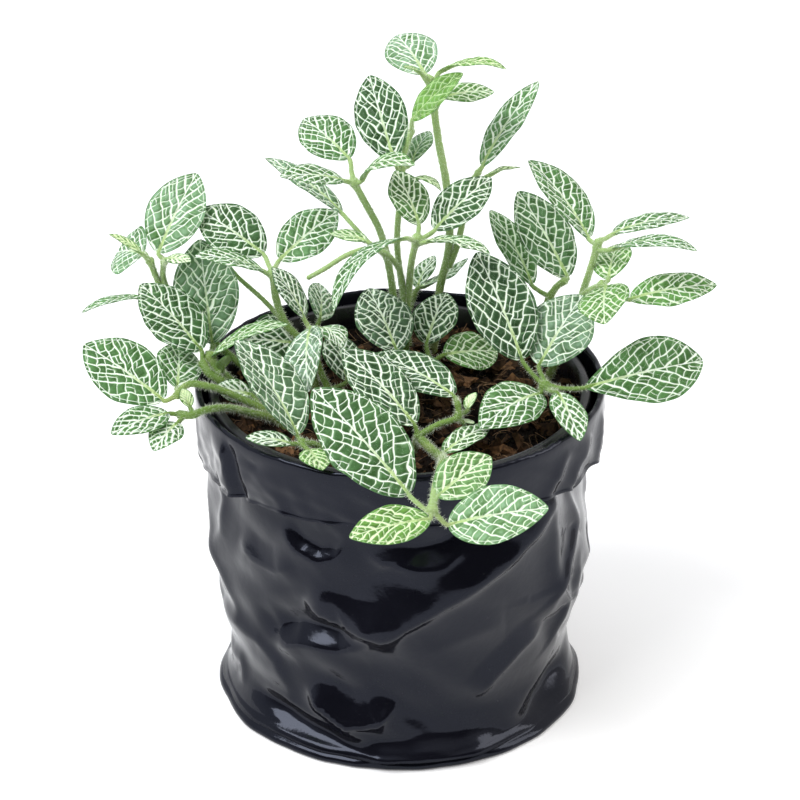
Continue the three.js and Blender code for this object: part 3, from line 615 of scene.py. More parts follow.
def make_mesh(name, points, faces, materials, fields=None, face_material=None):
    """A mesh object at the origin, from points in millimetres and lists of faces of the same size."""
    mesh = bpy.data.meshes.new(name)
    sizes = np.concatenate([np.full(len(group), group.shape[1]) for group in faces])
    mesh.vertices.add(len(points))
    mesh.vertices.foreach_set("co", (np.asarray(points) * MM).ravel())
    mesh.loops.add(sizes.sum())
    mesh.loops.foreach_set("vertex_index", np.concatenate([group.ravel() for group in faces]))
    mesh.polygons.add(len(sizes))
    mesh.polygons.foreach_set("loop_start", np.cumsum(sizes) - sizes)
    mesh.polygons.foreach_set("use_smooth", np.ones(len(sizes), bool))
    for material in materials:
        mesh.materials.append(material)
    if face_material is not None:
        mesh.polygons.foreach_set("material_index", face_material)
    for key, values in (fields or {}).items():
        attribute = mesh.attributes.new(key, "FLOAT_VECTOR", "POINT")
        attribute.data.foreach_set("vector", values.astype(np.float32).ravel())
    mesh.update(calc_edges=True)
    mesh.validate()
    piece = bpy.data.objects.new(name, mesh)
    bpy.context.collection.objects.link(piece)
    return piece


def make_leaf(name, shape, finish):
    """A closed blade: its upper face, its underside and the thin rim between them."""
    rng = np.random.default_rng(sum(map(ord, name)) * 7)
    points, margin, fields = leaf_grid(shape, rng)
    rows, columns = margin.shape
    along_rows = np.gradient(points, axis=0)
    along_columns = np.gradient(points, axis=1)
    normal = np.cross(along_columns, along_rows)
    normal /= np.linalg.norm(normal, axis=-1, keepdims=True)
    if np.sum(normal @ blade_axes(shape)[2]) < 0:
        normal = -normal
    thickness = RIM_THICKNESS + (LEAF_THICKNESS - RIM_THICKNESS) * smooth(margin, 0, UNDER_RIM)
    under = points - normal * thickness[..., None]
    upper_faces = grid_faces(rows, columns)
    under_faces = grid_faces(rows, columns, rows * columns, flip=True)
    edge = rim_loop(rows, columns)
    following = np.roll(edge, -1)
    offset = rows * columns
    rim_faces = np.stack([edge, edge + offset, following + offset, following], -1)
    faces = [np.concatenate([upper_faces, rim_faces, under_faces])]
    parts = [0] * (len(upper_faces) + len(rim_faces)) + [1] * len(under_faces)
    doubled = {key: np.concatenate([v.reshape(-1, 3)] * 2) for key, v in fields.items()}
    piece = make_mesh("leaf_" + name, np.concatenate([points.reshape(-1, 3), under.reshape(-1, 3)]), faces,
                      [finish["leaf"], finish["underside"]], doubled, parts)
    face_outwards(piece)
    return piece


def rim_loop(rows, columns):
    """Grid indices once round the edge of the grid."""
    grid = np.arange(rows * columns).reshape(rows, columns)
    return np.concatenate([grid[0, :-1], grid[:-1, -1], grid[-1, :0:-1], grid[:0:-1, 0]])


def face_outwards(piece):
    """Turns a closed mesh right side out."""
    mesh = piece.data
    points = np.empty(len(mesh.vertices) * 3)
    mesh.vertices.foreach_get("co", points)
    points = points.reshape(-1, 3)
    corners = np.empty(len(mesh.loops), int)
    mesh.loops.foreach_get("vertex_index", corners)
    starts = np.empty(len(mesh.polygons), int)
    mesh.polygons.foreach_get("loop_start", starts)
    a, b, c = (points[corners[starts + k]] for k in range(3))
    d = points[corners[np.minimum(starts + 3, len(corners) - 1)]]
    volume = np.einsum("ij,ij->i", a, np.cross(b, c)).sum() + np.einsum("ij,ij->i", a, np.cross(c, d)).sum()
    if volume < 0:
        mesh.flip_normals()


def vein_nodes(nodes):
    """The net of veins, 0 in the cells and 1 on the veins, with what else the leaf shaders share."""
    count, reach, gap = nodes.attribute("vein_place")
    x, share, margin = nodes.attribute("blade_place")
    pitch, seed, bold = nodes.attribute("net_look")
    side = nodes.maths("GREATER_THAN", x, 0.0)
    which = nodes.maths("MULTIPLY_ADD", side, HALF_SHIFT, count)
    strip = nodes.maths("FLOOR", which)
    place = nodes.maths("SUBTRACT", which, strip)
    seeded = nodes.plus(strip, seed)
    off_side = nodes.times(nodes.maths("PINGPONG", which, 0.5), gap)
    start = nodes.maths("MULTIPLY_ADD", side, SIDE_SHIFT, nodes.times(seeded, STRIP_SHIFT))
    start = nodes.maths("FRACT", start)
    bow = nodes.times(nodes.maths("SUBTRACT", 1.0, place), place)
    turned = nodes.maths("SINE", nodes.maths("MULTIPLY_ADD", seeded, SLANT_TURN, nodes.times(side, SLANT_SIDE)))
    slant = nodes.times(turned, nodes.maths("MULTIPLY_ADD", place, 0.5, -0.25))
    ladder = nodes.plus(nodes.maths("DIVIDE", reach, pitch), nodes.maths("MULTIPLY_ADD", bow, 0.5, start))
    ladder = nodes.plus(ladder, slant)
    off_rung = nodes.times(nodes.maths("PINGPONG", ladder, 0.5), pitch)
    rung_chance = nodes.chance(seeded, nodes.maths("FLOOR", nodes.plus(ladder, 0.5)), side)
    cell_chance = nodes.chance(seeded, nodes.maths("FLOOR", ladder), side)
    off_half = nodes.times(nodes.maths("ABSOLUTE", nodes.maths("SUBTRACT", place, 0.5)), gap)
    cut_short = nodes.times(nodes.maths("LESS_THAN", rung_chance, 0.24), nodes.ramp(place, 0.38, 0.5))
    off_loop = nodes.maths("ABSOLUTE", nodes.maths("SUBTRACT", margin, 1.0))
    off_middle = nodes.maths("ABSOLUTE", x)
    uneven = nodes.ramp(nodes.noise(nodes.place(), 420, 2), 0.3, 0.7, 0.78, 1.22)
    weight = nodes.times(bold, uneven)

    def vein(distance, half_width):
        return nodes.ramp(nodes.maths("SUBTRACT", nodes.times(weight, half_width), distance), -0.10, 0.10)

    middle = vein(off_middle, nodes.ramp(share, 0.0, 0.9, 0.54, 0.18))
    sides = vein(off_side, nodes.ramp(off_middle, 0.0, 8.0, 0.29, 0.19))
    rungs = nodes.times(vein(off_rung, 0.155), nodes.maths("SUBTRACT", 1.0, cut_short))
    splits = nodes.times(nodes.maths("LESS_THAN", cell_chance, 0.3), nodes.ramp(gap, 2.0, 2.6))
    splits = nodes.times(vein(off_half, 0.13), splits)
    fine = nodes.maths("MAXIMUM", nodes.maths("MAXIMUM", rungs, splits), vein(off_loop, 0.11))
    fine = nodes.times(fine, nodes.ramp(off_middle, 0.2, 0.6))
    net = nodes.maths("MAXIMUM", nodes.maths("MAXIMUM", middle, sides), nodes.times(fine, 0.86))
    net = nodes.times(net, nodes.ramp(margin, 0.10, 0.35))
    return net, middle, share, margin, nodes.maths("MINIMUM", off_side, off_rung)


def leaf_material():
    material, nodes, shader = new_material("leaf with pale veins", roughness=0.45, ior=1.28)
    net, middle, share, margin, hollow = vein_nodes(nodes)
    tone, young, haze = nodes.attribute("leaf_tint_and_sheen")
    spot = nodes.place()
    cloudy = nodes.noise(spot, 190, 3, 0.55)
    grain = nodes.noise(spot, 1500, 2, 0.6)
    # The leaf's own deep to mid green, set by its tone; on leaves that lie in shade, a low tone is painted
    # shade.
    deep = nodes.blend(tone, (0.010, 0.054, 0.005), (0.080, 0.235, 0.040))
    green = nodes.blend(young, deep, (0.14, 0.325, 0.035))
    shade = nodes.ramp(cloudy, 0.3, 0.7, 0.72, 1.28)
    green = nodes.blend(1.0, green, nodes.add("ShaderNodeCombineColor", shade, shade, shade), "MULTIPLY")
    # Painted sheen: a pale whitish green that stands for the room's reflection on the leaf, blended into the
    # colour as far as the leaf's sheen look and the patchy noise allow.
    green = nodes.blend(nodes.times(haze, nodes.ramp(cloudy, 0.2, 0.8)), green, (0.36, 0.52, 0.40))
    green = nodes.blend(nodes.ramp(grain, 0.52, 0.75, 0.0, 0.16), green, (0.33, 0.50, 0.30))
    green = nodes.blend(nodes.ramp(hollow, 0.75, 0.2, 0.0, 0.34), green, (0.27, 0.46, 0.22))
    vein = nodes.blend(young, (0.84, 0.94, 0.80), (0.72, 0.88, 0.48))
    base_green = nodes.times(middle, nodes.ramp(share, 0.75, 0.02))
    vein = nodes.blend(base_green, vein, (0.46, 0.63, 0.24))
    colour = nodes.blend(net, green, vein)
    rim = nodes.ramp(margin, 0.28, 0.05)
    colour = nodes.blend(nodes.times(rim, 0.6), colour, (0.09, 0.20, 0.08))
    nodes.link(colour, shader.inputs["Base Color"])
    nodes.link(nodes.ramp(cloudy, 0.2, 0.8, 0.38, 0.54), shader.inputs["Roughness"])
    pillow = nodes.ramp(hollow, 0.0, 1.0)
    pillow = nodes.maths("MULTIPLY_ADD", grain, 0.10, pillow)
    nodes.link(nodes.bump(pillow, 0.00045, 0.85), shader.inputs["Normal"])
    shader.inputs["Subsurface Weight"].default_value = 0.12
    shader.inputs["Subsurface Radius"].default_value = (0.0008, 0.0012, 0.0004)
    shader.inputs["Sheen Weight"].default_value = 0.05
    shader.inputs["Sheen Roughness"].default_value = 0.5
    return material


def underside_material():
    material, nodes, shader = new_material("leaf underside", roughness=0.55, ior=1.4)
    net = vein_nodes(nodes)[0]
    young = nodes.attribute("leaf_tint_and_sheen")[1]
    cloudy = nodes.noise(nodes.place(), 260, 3)
    green = nodes.blend(cloudy, (0.20, 0.36, 0.13), (0.29, 0.47, 0.19))
    green = nodes.blend(young, green, (0.30, 0.50, 0.10))
    colour = nodes.blend(nodes.times(net, 0.55), green, (0.48, 0.64, 0.38))
    nodes.link(colour, shader.inputs["Base Color"])
    nodes.link(nodes.ramp(cloudy, 0.2, 0.8, 0.48, 0.62), shader.inputs["Roughness"])
    nodes.link(nodes.bump(net, 0.0002, 0.8), shader.inputs["Normal"])
    return material


# ---- stems and stalks ----

TUBE_SIDES = 12
TUBE_STEP = 0.8
TUBE_ROUGHNESS = 0.04
STEM_TAPER = 0.2         # how much thinner a stem is at its tip
NODE_SWELL = 0.4
NODE_LENGTH = 1.4
PETIOLE_RADIUS = 0.75
MIDRIB_REACH = 0.38      # how far the stalk runs on under the blade, of its length


def stem_curve(route, count=400):
    """A centripetal Catmull-Rom curve through the route, as points evenly spaced along it."""
    route = np.array(route, float)
    ends = np.vstack([2 * route[0] - route[1], route, 2 * route[-1] - route[-2]])
    t = np.linspace(0, 1, 60)[:, None]
    pieces = []
    for k in range(len(route) - 1):
        before, first, last, after = ends[k:k + 4]
        d0, d1, d2 = (math.sqrt(np.linalg.norm(b - a)) for a, b in
                      ((before, first), (first, last), (last, after)))
        m1 = ((first - before) / d0 - (last - before) / (d0 + d1) + (last - first) / d1) * d1
        m2 = ((last - first) / d1 - (after - first) / (d1 + d2) + (after - last) / d2) * d1
        cubic = (first + m1 * t + (3 * (last - first) - 2 * m1 - m2) * t ** 2
                 + (2 * (first - last) + m1 + m2) * t ** 3)
        pieces.append(cubic if k == 0 else cubic[1:])
    return evenly(np.vstack(pieces), count)


def evenly(points, count):
    """Points evenly spaced along a polyline."""
    reach = np.concatenate([[0], np.cumsum(np.linalg.norm(np.diff(points, axis=0), axis=1))])
    share = np.linspace(0, reach[-1], count)
    return np.stack([np.interp(share, reach, axis) for axis in points.T], 1)


def path_length(points):
    return np.linalg.norm(np.diff(points, axis=0), axis=1).sum()


def stalk_start(shape):
    """Where a leaf's stalk leaves its stem: a little inside the stem's skin."""
    stem = STEMS[shape["stem"]]
    points = stem_curve(stem["route"])
    index = round(shape["at"] * (len(points) - 1))
    axis = points[index]
    ahead = unit(points[min(index + 4, len(points) - 1)] - points[max(index - 4, 0)])
    heading = unit(np.array(shape["base"]) - axis)
    sideways = heading - ahead * heading.dot(ahead)
    radius = stem["radius"] * (1 - STEM_TAPER * shape["at"])
    return axis + sideways * radius * 0.5


def stalk_path(shape):
    """From the stem, out to the blade's base and on under its midrib."""
    along, _, out = blade_axes(shape)
    base = np.array(shape["base"], float)
    length = np.linalg.norm(np.subtract(shape["tip"], base))
    start = stalk_start(shape)
    arch = shape["look"].get("arch", USUAL_ARCH)

    def under(share, depth):
        return base + along * share * length + out * (arch * length * 4 * share * (1 - share) - depth)

    reach = np.linalg.norm(base - start)
    sag = UP * -0.06 * reach
    points = [start, start * 0.6 + base * 0.4 + sag, base - out * 0.4,
              under(0.1, 0.62), under(0.22, 0.6), under(MIDRIB_REACH, 0.45)]
    path = stem_curve(points, max(8, round((reach + MIDRIB_REACH * length) / TUBE_STEP)))
    at_base = reach / (reach + MIDRIB_REACH * length)
    radius = np.interp(np.linspace(0, 1, len(path)), [0, at_base * 0.25, at_base, 1],
                       [1.0, PETIOLE_RADIUS + 0.05, PETIOLE_RADIUS, 0.22])
    return path, radius


def tube(path, radius, start, rng):
    """A closed round tube whose first point index is start: its points and its quads and end fans."""
    ahead = np.gradient(path, axis=0)
    ahead /= np.linalg.norm(ahead, axis=1, keepdims=True)
    side = unit(np.cross(ahead[0], (0.3, 0.9, 0.2)))
    rings = []
    sides = TUBE_SIDES
    turns = np.arange(sides) * 2 * math.pi / sides
    for k, centre in enumerate(path):
        side = unit(side - ahead[k] * side.dot(ahead[k]))
        other = np.cross(ahead[k], side)
        rough = 1 + TUBE_ROUGHNESS * rng.standard_normal(sides)
        ring = np.outer(np.cos(turns), side) + np.outer(np.sin(turns), other)
        rings.append(centre + ring * (radius[k] * rough)[:, None])
    points = np.vstack([*rings, path[0] - ahead[0] * radius[0] * 0.4, path[-1] + ahead[-1] * radius[-1] * 0.8])
    around = np.arange(sides)
    following = (around + 1) % sides
    rows = np.arange(len(path) - 1)[:, None] * sides + start
    quads = np.stack([rows + around, rows + following, rows + sides + following, rows + sides + around], -1)
    last = start + (len(path) - 1) * sides
    near, far = start + len(path) * sides, start + len(path) * sides + 1
    fans = np.vstack([np.stack([np.full(sides, near), start + following, start + around], 1),
                      np.stack([np.full(sides, far), last + around, last + following], 1)])
    return points, quads.reshape(-1, 4), fans


def stem_radius(name, count):
    """A stem's radius along it, with a swelling where each leaf leaves and a bud at the tip."""
    stem = STEMS[name]
    length = path_length(stem_curve(stem["route"]))
    share = np.linspace(0, 1, count)
    radius = stem["radius"] * (1 - STEM_TAPER * share)
    for shape in LEAVES.values():
        if shape["stem"] == name:
            radius = radius + NODE_SWELL * bell((share - shape["at"]) * length, 0, NODE_LENGTH) / 1.5
    return np.minimum(radius, stem["radius"] + NODE_SWELL + 0.15)


def make_stem(name, finish):
    """One rooted stem with its branches and the stalks of all their leaves."""
    rng = np.random.default_rng(sum(map(ord, name)))
    family = [name] + [other for other in STEMS if STEMS[other].get("grows_from") == name]
    points, quads, fans = np.zeros((0, 3)), [], []
    paths = []
    for member in family:
        path = stem_curve(STEMS[member]["route"])
        path = evenly(path, max(10, round(path_length(path) / TUBE_STEP)))
        paths.append((path, stem_radius(member, len(path))))
    paths += [stalk_path(shape) for shape in LEAVES.values() if shape["stem"] in family]
    for path, radius in paths:
        more, four, three = tube(path, radius, len(points), rng)
        points = np.vstack([points, more])
        quads.append(four)
        fans.append(three)
    piece = make_mesh("stem_" + name, points, [np.vstack(quads), np.vstack(fans)], [finish["stem"]])
    run_tree(piece, finish["hair tree"], Density=3.0e6, Length=0.0013, Radius=0.000055,
             Lowest=(SOIL_CROWN - 2) * MM, Seed=len(name), Hair=finish["hair"])
    return piece


def hair_tree():
    """Stands fine tapered hairs on a stem, above a height."""
    tree, nodes, entry = new_tree("stem hairs", Density="Float", Length="Float", Radius="Float", Lowest="Float",
                                  Seed="Int", Hair="Material")
    z = nodes.split(nodes.add("GeometryNodeInputPosition"))[2]
    above = nodes.add("FunctionNodeCompare", z, entry["Lowest"], operation="GREATER_THAN")
    hair = nodes.add("GeometryNodeMeshCone", fill_type="NONE",
                     inputs={"Vertices": 3, "Radius Top": 0.0, "Radius Bottom": entry["Radius"],
                             "Depth": entry["Length"]})
    copies = scatter(nodes, entry, above, hair, 0.5, (0.45, 1.1), "FLOAT")
    end_tree(tree, nodes, entry["Geometry"], copies, entry["Hair"])
    return tree


def stem_material():
    material, nodes, shader = new_material("green stem", roughness=0.5, ior=1.4)
    spot = nodes.place()
    streak = nodes.noise(spot, 420, 4, 0.6)
    blotch = nodes.noise(spot, 110, 2)
    colour = nodes.blend(streak, (0.085, 0.17, 0.022), (0.21, 0.34, 0.075))
    colour = nodes.blend(nodes.ramp(blotch, 0.55, 0.75, 0.0, 0.5), colour, (0.40, 0.50, 0.17))
    _, y, z = nodes.split(spot)
    young = nodes.maths("MAXIMUM", nodes.ramp(z, 0.122, 0.155, 0.0, 0.65),
                        nodes.ramp(y, -0.062, -0.076, 0.0, 0.6))
    colour = nodes.blend(young, colour, (0.44, 0.62, 0.26))
    colour = nodes.blend(nodes.ramp(z, 0.116, 0.106, 0.0, 0.5), colour, (0.20, 0.19, 0.07))
    nodes.link(colour, shader.inputs["Base Color"])
    nodes.link(nodes.ramp(streak, 0.2, 0.8, 0.42, 0.6), shader.inputs["Roughness"])
    nodes.link(nodes.bump(nodes.noise(spot, 1500, 2), 0.0001, 0.6), shader.inputs["Normal"])
    shader.inputs["Subsurface Weight"].default_value = 0.15
    shader.inputs["Subsurface Radius"].default_value = (0.0009, 0.0012, 0.0004)
    return material


def hair_material():
    material, nodes, shader = new_material("pale stem hair", roughness=0.5)
    tint = nodes.noise(nodes.place(), 300, 2)
    nodes.link(nodes.blend(tint, (0.70, 0.78, 0.58), (0.88, 0.93, 0.80)), shader.inputs["Base Color"])
    nodes.link(nodes.ramp(tint, 0.2, 0.8, 0.4, 0.6), shader.inputs["Roughness"])
    return material


# ---- soil and nursery pot ----

SOIL_SPOKES, SOIL_ROWS = 280, 70
SOIL_FLOOR, SOIL_FLOOR_RADIUS = 3.4, 45.2
SOIL_CROWNING = 2.2      # how much higher the soil stands at its middle
POT_SPOKES = 192
POT_WALL = 1.2
POT_FLOOR_RADIUS = 47
POT_RIM_HEIGHT = 6
DRAIN_COUNT, DRAIN_RING, DRAIN_RADIUS = 6, 33, 4


def turned_mesh(name, profile, materials, spokes, lift=None):
    """A closed body turned round Z from a profile that starts and ends on the axis, radius and height in mm."""
    profile = np.array(profile, float)
    inner = profile[1:-1]
    angle = np.arange(spokes) * 2 * math.pi / spokes
    points = np.stack([np.outer(inner[:, 0], np.cos(angle)), np.outer(inner[:, 0], np.sin(angle)),
                       np.repeat(inner[:, 1:], spokes, 1)], -1).reshape(-1, 3)
    points = np.vstack([points, (0, 0, profile[0, 1]), (0, 0, profile[-1, 1])])
    if lift:
        points = lift(points)
    around = np.arange(spokes)
    following = (around + 1) % spokes
    rows = np.arange(len(inner) - 1)[:, None] * spokes
    quads = np.stack([rows + around, rows + following, rows + spokes + following, rows + spokes + around], -1)
    last = (len(inner) - 1) * spokes
    first_pole, last_pole = len(points) - 2, len(points) - 1
    fans = np.vstack([np.stack([np.full(spokes, first_pole), following, around], 1),
                      np.stack([np.full(spokes, last_pole), last + around, last + following], 1)])
    piece = make_mesh(name, points, [quads.reshape(-1, 4), fans], materials)
    face_outwards(piece)
    return piece


def lumps(x, y, pitch, seed, detail=3):
    """Smooth random lumps of height about 1."""
    rng = np.random.default_rng(seed)
    height = 0
    for octave in range(detail):
        for _ in range(5):
            turn, phase = rng.uniform(0, 2 * math.pi, 2)
            scale = 2 * math.pi / pitch * 2 ** octave * rng.uniform(0.7, 1.4)
            wave = np.sin(scale * (x * math.cos(turn) + y * math.sin(turn)) + phase)
            height = height + wave / 2.6 * 0.55 ** octave
    return height


def make_soil(finish):
    """The peat: a lumpy mound that fills the pot, with bark chips, crumbs and fine roots on top."""
    edge_height = SOIL_CROWN - 3.4
    radii = SOIL_RADIUS * np.sin(np.linspace(0, 1, SOIL_ROWS) * math.pi / 2)
    top = [(r, SOIL_CROWN - 1.2 - SOIL_CROWNING * (r / SOIL_RADIUS) ** 2) for r in radii]
    profile = top + [(SOIL_RADIUS - 0.1, edge_height - 3), (SOIL_FLOOR_RADIUS, SOIL_FLOOR), (0, SOIL_FLOOR)]

    def lift(points):
        x, y, z = points.T
        inwards = smooth(SOIL_RADIUS - np.hypot(x, y), 0, 3)
        free = smooth(z, edge_height - 1.5, edge_height - 0.4) * (0.35 + 0.65 * inwards)
        z = z + free * (1.3 * lumps(x, y, 26, 3, 2) + 0.5 * lumps(x, y, 5, 4, 3))
        return np.stack([x, y, z], 1)

    soil = turned_mesh("potting_soil_peat", profile, [finish["peat"]], SOIL_SPOKES, lift)
    top = dict(Lowest=(SOIL_CROWN - 7) * MM)
    run_tree(soil, finish["chip tree"], Density=3.4e4, Size=0.0054, Thickness=0.28, Rough=0.0013, Seed=3,
             Chip=finish["bark"], **top)
    run_tree(soil, finish["crumb tree"], Density=3.7e5, Size=0.0019, Thickness=0.7, Rough=0.0006, Seed=11,
             Chip=finish["crumb"], **top)
    run_tree(soil, finish["fibre tree"], Density=3.6e4, Length=0.010, Radius=0.00011, Seed=5,
             Fibre=finish["root"], **top)
    return soil


def strewn_tree(name, crumbs):
    """Strews lumpy flakes or round crumbs over the upward faces of the first material."""
    tree, nodes, entry = new_tree(name, Density="Float", Size="Float", Thickness="Float", Rough="Float",
                                  Lowest="Float", Seed="Int", Chip="Material")
    size = nodes.add("ShaderNodeCombineXYZ", entry["Size"], nodes.times(entry["Size"], 0.62),
                     nodes.times(entry["Size"], entry["Thickness"]))
    if crumbs:
        ball = nodes.add("GeometryNodeMeshIcoSphere", inputs={"Radius": 0.5, "Subdivisions": 1})
        flake = nodes.add("GeometryNodeTransform", ball, inputs={"Scale": size})
    else:
        flake = nodes.add("GeometryNodeMeshCube", size, 3, 3, 2)
    copies = scatter(nodes, entry, upward_ground(nodes, entry["Lowest"]), flake, 0.6,
                     ((0.45, 0.45, 0.5), (1.7, 1.5, 1.4)), "FLOAT_VECTOR")
    toned = nodes.add("GeometryNodeStoreNamedAttribute", copies, data_type="FLOAT", domain="INSTANCE",
                      inputs={"Name": "chip_tone", "Value": random_value(nodes, 0.0, 1.0, 3)})
    real = nodes.add("GeometryNodeRealizeInstances", toned)
    wander = nodes.noise(nodes.add("GeometryNodeInputPosition"), 380, 1, out=1)
    centred = nodes.add("ShaderNodeVectorMath", wander, (0.5, 0.5, 0.5), operation="SUBTRACT")
    push = nodes.add("ShaderNodeVectorMath", centred, operation="SCALE",
                     inputs={"Scale": nodes.times(entry["Rough"], 3.0)})
    rough = nodes.add("GeometryNodeSetPosition", real, inputs={"Offset": push})
    end_tree(tree, nodes, entry["Geometry"], rough, entry["Chip"])
    return tree


def upward_ground(nodes, lowest):
    """True on faces of the first material that look up and lie above a height."""
    z = nodes.split(nodes.add("GeometryNodeInputPosition"))[2]
    facing = nodes.split(nodes.add("GeometryNodeInputNormal"))[2]
    ground = nodes.add("FunctionNodeCompare", operation="LESS_THAN", data_type="INT",
                       inputs={2: nodes.add("GeometryNodeInputMaterialIndex"), 3: 1})
    up = nodes.add("FunctionNodeCompare", facing, 0.4, operation="GREATER_THAN")
    above = nodes.add("FunctionNodeCompare", z, lowest, operation="GREATER_THAN")
    return nodes.add("FunctionNodeBooleanMath", nodes.add("FunctionNodeBooleanMath", up, above), ground)


def fibre_tree():
    """Lays thin bent fibres on the upward ground."""
    tree, nodes, entry = new_tree("fine roots", Density="Float", Length="Float", Radius="Float", Lowest="Float",
                                  Seed="Int", Fibre="Material")
    half = nodes.times(entry["Length"], 0.5)
    ends = [nodes.add("ShaderNodeCombineXYZ", nodes.times(half, x), 0.0, 0.0) for x in (-1.0, 1.0)]
    middle = nodes.add("ShaderNodeCombineXYZ", 0.0, half, nodes.times(half, 0.35))
    line = nodes.add("GeometryNodeCurveQuadraticBezier", 5,
                     inputs={"Start": ends[0], "Middle": middle, "End": ends[1]})
    section = nodes.add("GeometryNodeCurvePrimitiveCircle", inputs={"Resolution": 4, "Radius": entry["Radius"]})
    fibre = nodes.add("GeometryNodeCurveToMesh", line, section, inputs={"Fill Caps": True})
    copies = scatter(nodes, entry, upward_ground(nodes, entry["Lowest"]), fibre, 0.35,
                     ((0.3, 0.2, 0.6), (1.2, 1.2, 1.3)), "FLOAT_VECTOR")
    raised = nodes.add("GeometryNodeTranslateInstances", copies, inputs={"Translation": (0, 0, 0.0006)})
    end_tree(tree, nodes, entry["Geometry"], raised, entry["Fibre"])
    return tree


def grit_material(name, dark, light, scale, toned=False):
    material, nodes, shader = new_material(name, roughness=0.9, ior=1.22)
    spot = nodes.place()
    speck = nodes.noise(spot, scale, 5, 0.65)
    colour = nodes.blend(nodes.ramp(speck, 0.3, 0.7), dark, light)
    if toned:
        tone = nodes.add("ShaderNodeAttribute", out="Fac", attribute_name="chip_tone")
        dull = nodes.blend(0.75, colour, (0.006, 0.004, 0.003))
        colour = nodes.blend(nodes.ramp(tone, 0.55, 1.0), dull, colour)
    nodes.link(colour, shader.inputs["Base Color"])
    nodes.link(nodes.ramp(speck, 0.2, 0.8, 0.75, 0.95), shader.inputs["Roughness"])
    nodes.link(nodes.bump(speck, 0.0004, 0.8), shader.inputs["Normal"])
    return material


def make_nursery_pot(finish):
    """A thin moulded tub with a thick rim and drain holes in its floor."""
    rim, top = POT_RIM_RADIUS, POT_HEIGHT
    under_rim = top - POT_RIM_HEIGHT
    outer = rim - 2.5
    inner = outer - POT_WALL
    flare = outer - POT_FLOOR_RADIUS
    climb = [k / 12 for k in range(13)]
    foot = [(0, 1.6), (46.2, 1.6), (46.8, 1.8), (47, 2.4)]
    outside = [(POT_FLOOR_RADIUS + flare * t, 2.4 + (under_rim - 2.4) * t) for t in climb[1:]]
    bead = [(rim - 0.15, under_rim + 0.15), (rim, under_rim + 0.6), (rim, top - 1.1), (rim - 0.25, top - 0.35),
            (rim - 0.9, top), (inner + 0.9, top), (inner + 0.35, top - 0.3)]
    inside = [(inner - flare * t, under_rim - (under_rim - 3.2) * t) for t in climb]
    pot = turned_mesh("nursery_pot_tub", foot + outside + bead + inside + [(45.2, 2.8), (0, 2.8)],
                      [finish["pot"]], POT_SPOKES)
    drains = []
    for k in range(DRAIN_COUNT):
        angle = k * 2 * math.pi / DRAIN_COUNT
        place = [DRAIN_RING * MM * math.cos(angle), DRAIN_RING * MM * math.sin(angle), 2 * MM]
        bpy.ops.mesh.primitive_cylinder_add(vertices=32, radius=DRAIN_RADIUS * MM, depth=8 * MM, location=place)
        drains.append(bpy.context.object)
    for drain in drains:
        cut = pot.modifiers.new("drain", "BOOLEAN")
        cut.object, cut.operation, cut.solver = drain, "DIFFERENCE", "EXACT"
    keep_modifiers(pot)
    for drain in drains:
        bpy.data.objects.remove(drain)
    return pot


def pot_material():
    material, nodes, shader = new_material("black moulded plastic", roughness=0.3, ior=1.5)
    spot = nodes.place()
    dust = nodes.noise(spot, 90, 4, 0.6)
    nodes.link(nodes.blend(nodes.ramp(dust, 0.5, 0.8, 0.0, 0.5), (0.007, 0.007, 0.009), (0.028, 0.026, 0.025)),
               shader.inputs["Base Color"])
    nodes.link(nodes.ramp(dust, 0.3, 0.7, 0.22, 0.4), shader.inputs["Roughness"])
    nodes.link(nodes.bump(nodes.noise(spot, 700, 2), 0.00008, 0.5), shader.inputs["Normal"])
    return material


# ---- vinyl bag ----

BAG_COLUMNS = 350
WALL_ROWS, CUFF_ROWS = 76, 27
FRONT_DENSITY = 0.3      # how much closer the columns lie at the front
VINYL = 0.5
BASE_HEIGHT = 0.3
FOLD_RADIUS, FOLD_HEIGHT = 68.4, 115.3
FOLD_HALF_WIDTH, FOLD_RISE = 0.9, 1.1
CUFF_TOP, CUFF_TOP_RADIUS = 115, 69.35
CUFF_IN, CUFF_OUT = -1.4, 2.4        # how far the cuff may move from its rest
SIDE_CREASES, SIDE_DENTS = 34, 4     # drawn at random
SIDES = (95, 265)        # degrees from the front that the random creases lie between

# The wall without its folds: radii at these heights.
WALL_HEIGHTS = [0, 4, 9, 18, 30, 55, 80, 96, 108, 114]
WALL_RADII = [61.4, 60.6, 59.4, 58.9, 59.8, 61.0, 62.2, 63.8, 66.3, 67.5]
# How far folds may stand out from the wall, at these heights.
ROOM_HEIGHTS = [0, 4, 12, 60, 84, 94, 114]
ROOM_OUT = [0.4, 3.0, 6.5, 8.0, 6.0, 2.2, 0.0]
# The welded hem at the foot, from under its lip round to the wall: radius, height.
HEM = [(60.3, 0.3), (61.6, 0.35), (62.5, 0.9), (62.6, 1.8), (62.0, 2.7), (61.2, 3.3), (60.7, 4.2)]
# Folds with a lip: points along the lip as (degrees from the front, height), from left to right, then how
# far it stands out, and how far the slopes above and below it reach.
WALL_FOLDS = [
    ([(-13, 46), (-7, 51), (1, 58), (12, 66), (24, 72.5), (35, 79), (46, 87), (58, 97)], 8.6, 19, 18),
    ([(-33, 61), (-25, 57), (-16, 54), (-6, 54), (2, 58)], 4.8, 11, 6),
    ([(-13, 84), (-5, 80), (4, 78.5), (13, 80), (21, 86)], 2.6, 7, 6),
    ([(-33, 27), (-27, 20), (-17, 15), (-7, 17), (0, 26)], 5.6, 13, 8),
    ([(-18, 1), (-6, 4), (8, 5.4), (21, 4.5), (36, 1)], 3.4, 6, 3.5),
    ([(24, 22), (32, 30), (42, 38), (54, 44)], 2.2, 9, 10),
    ([(-62, 72), (-52, 68), (-42, 68), (-33, 73)], 1.8, 8, 7),
]
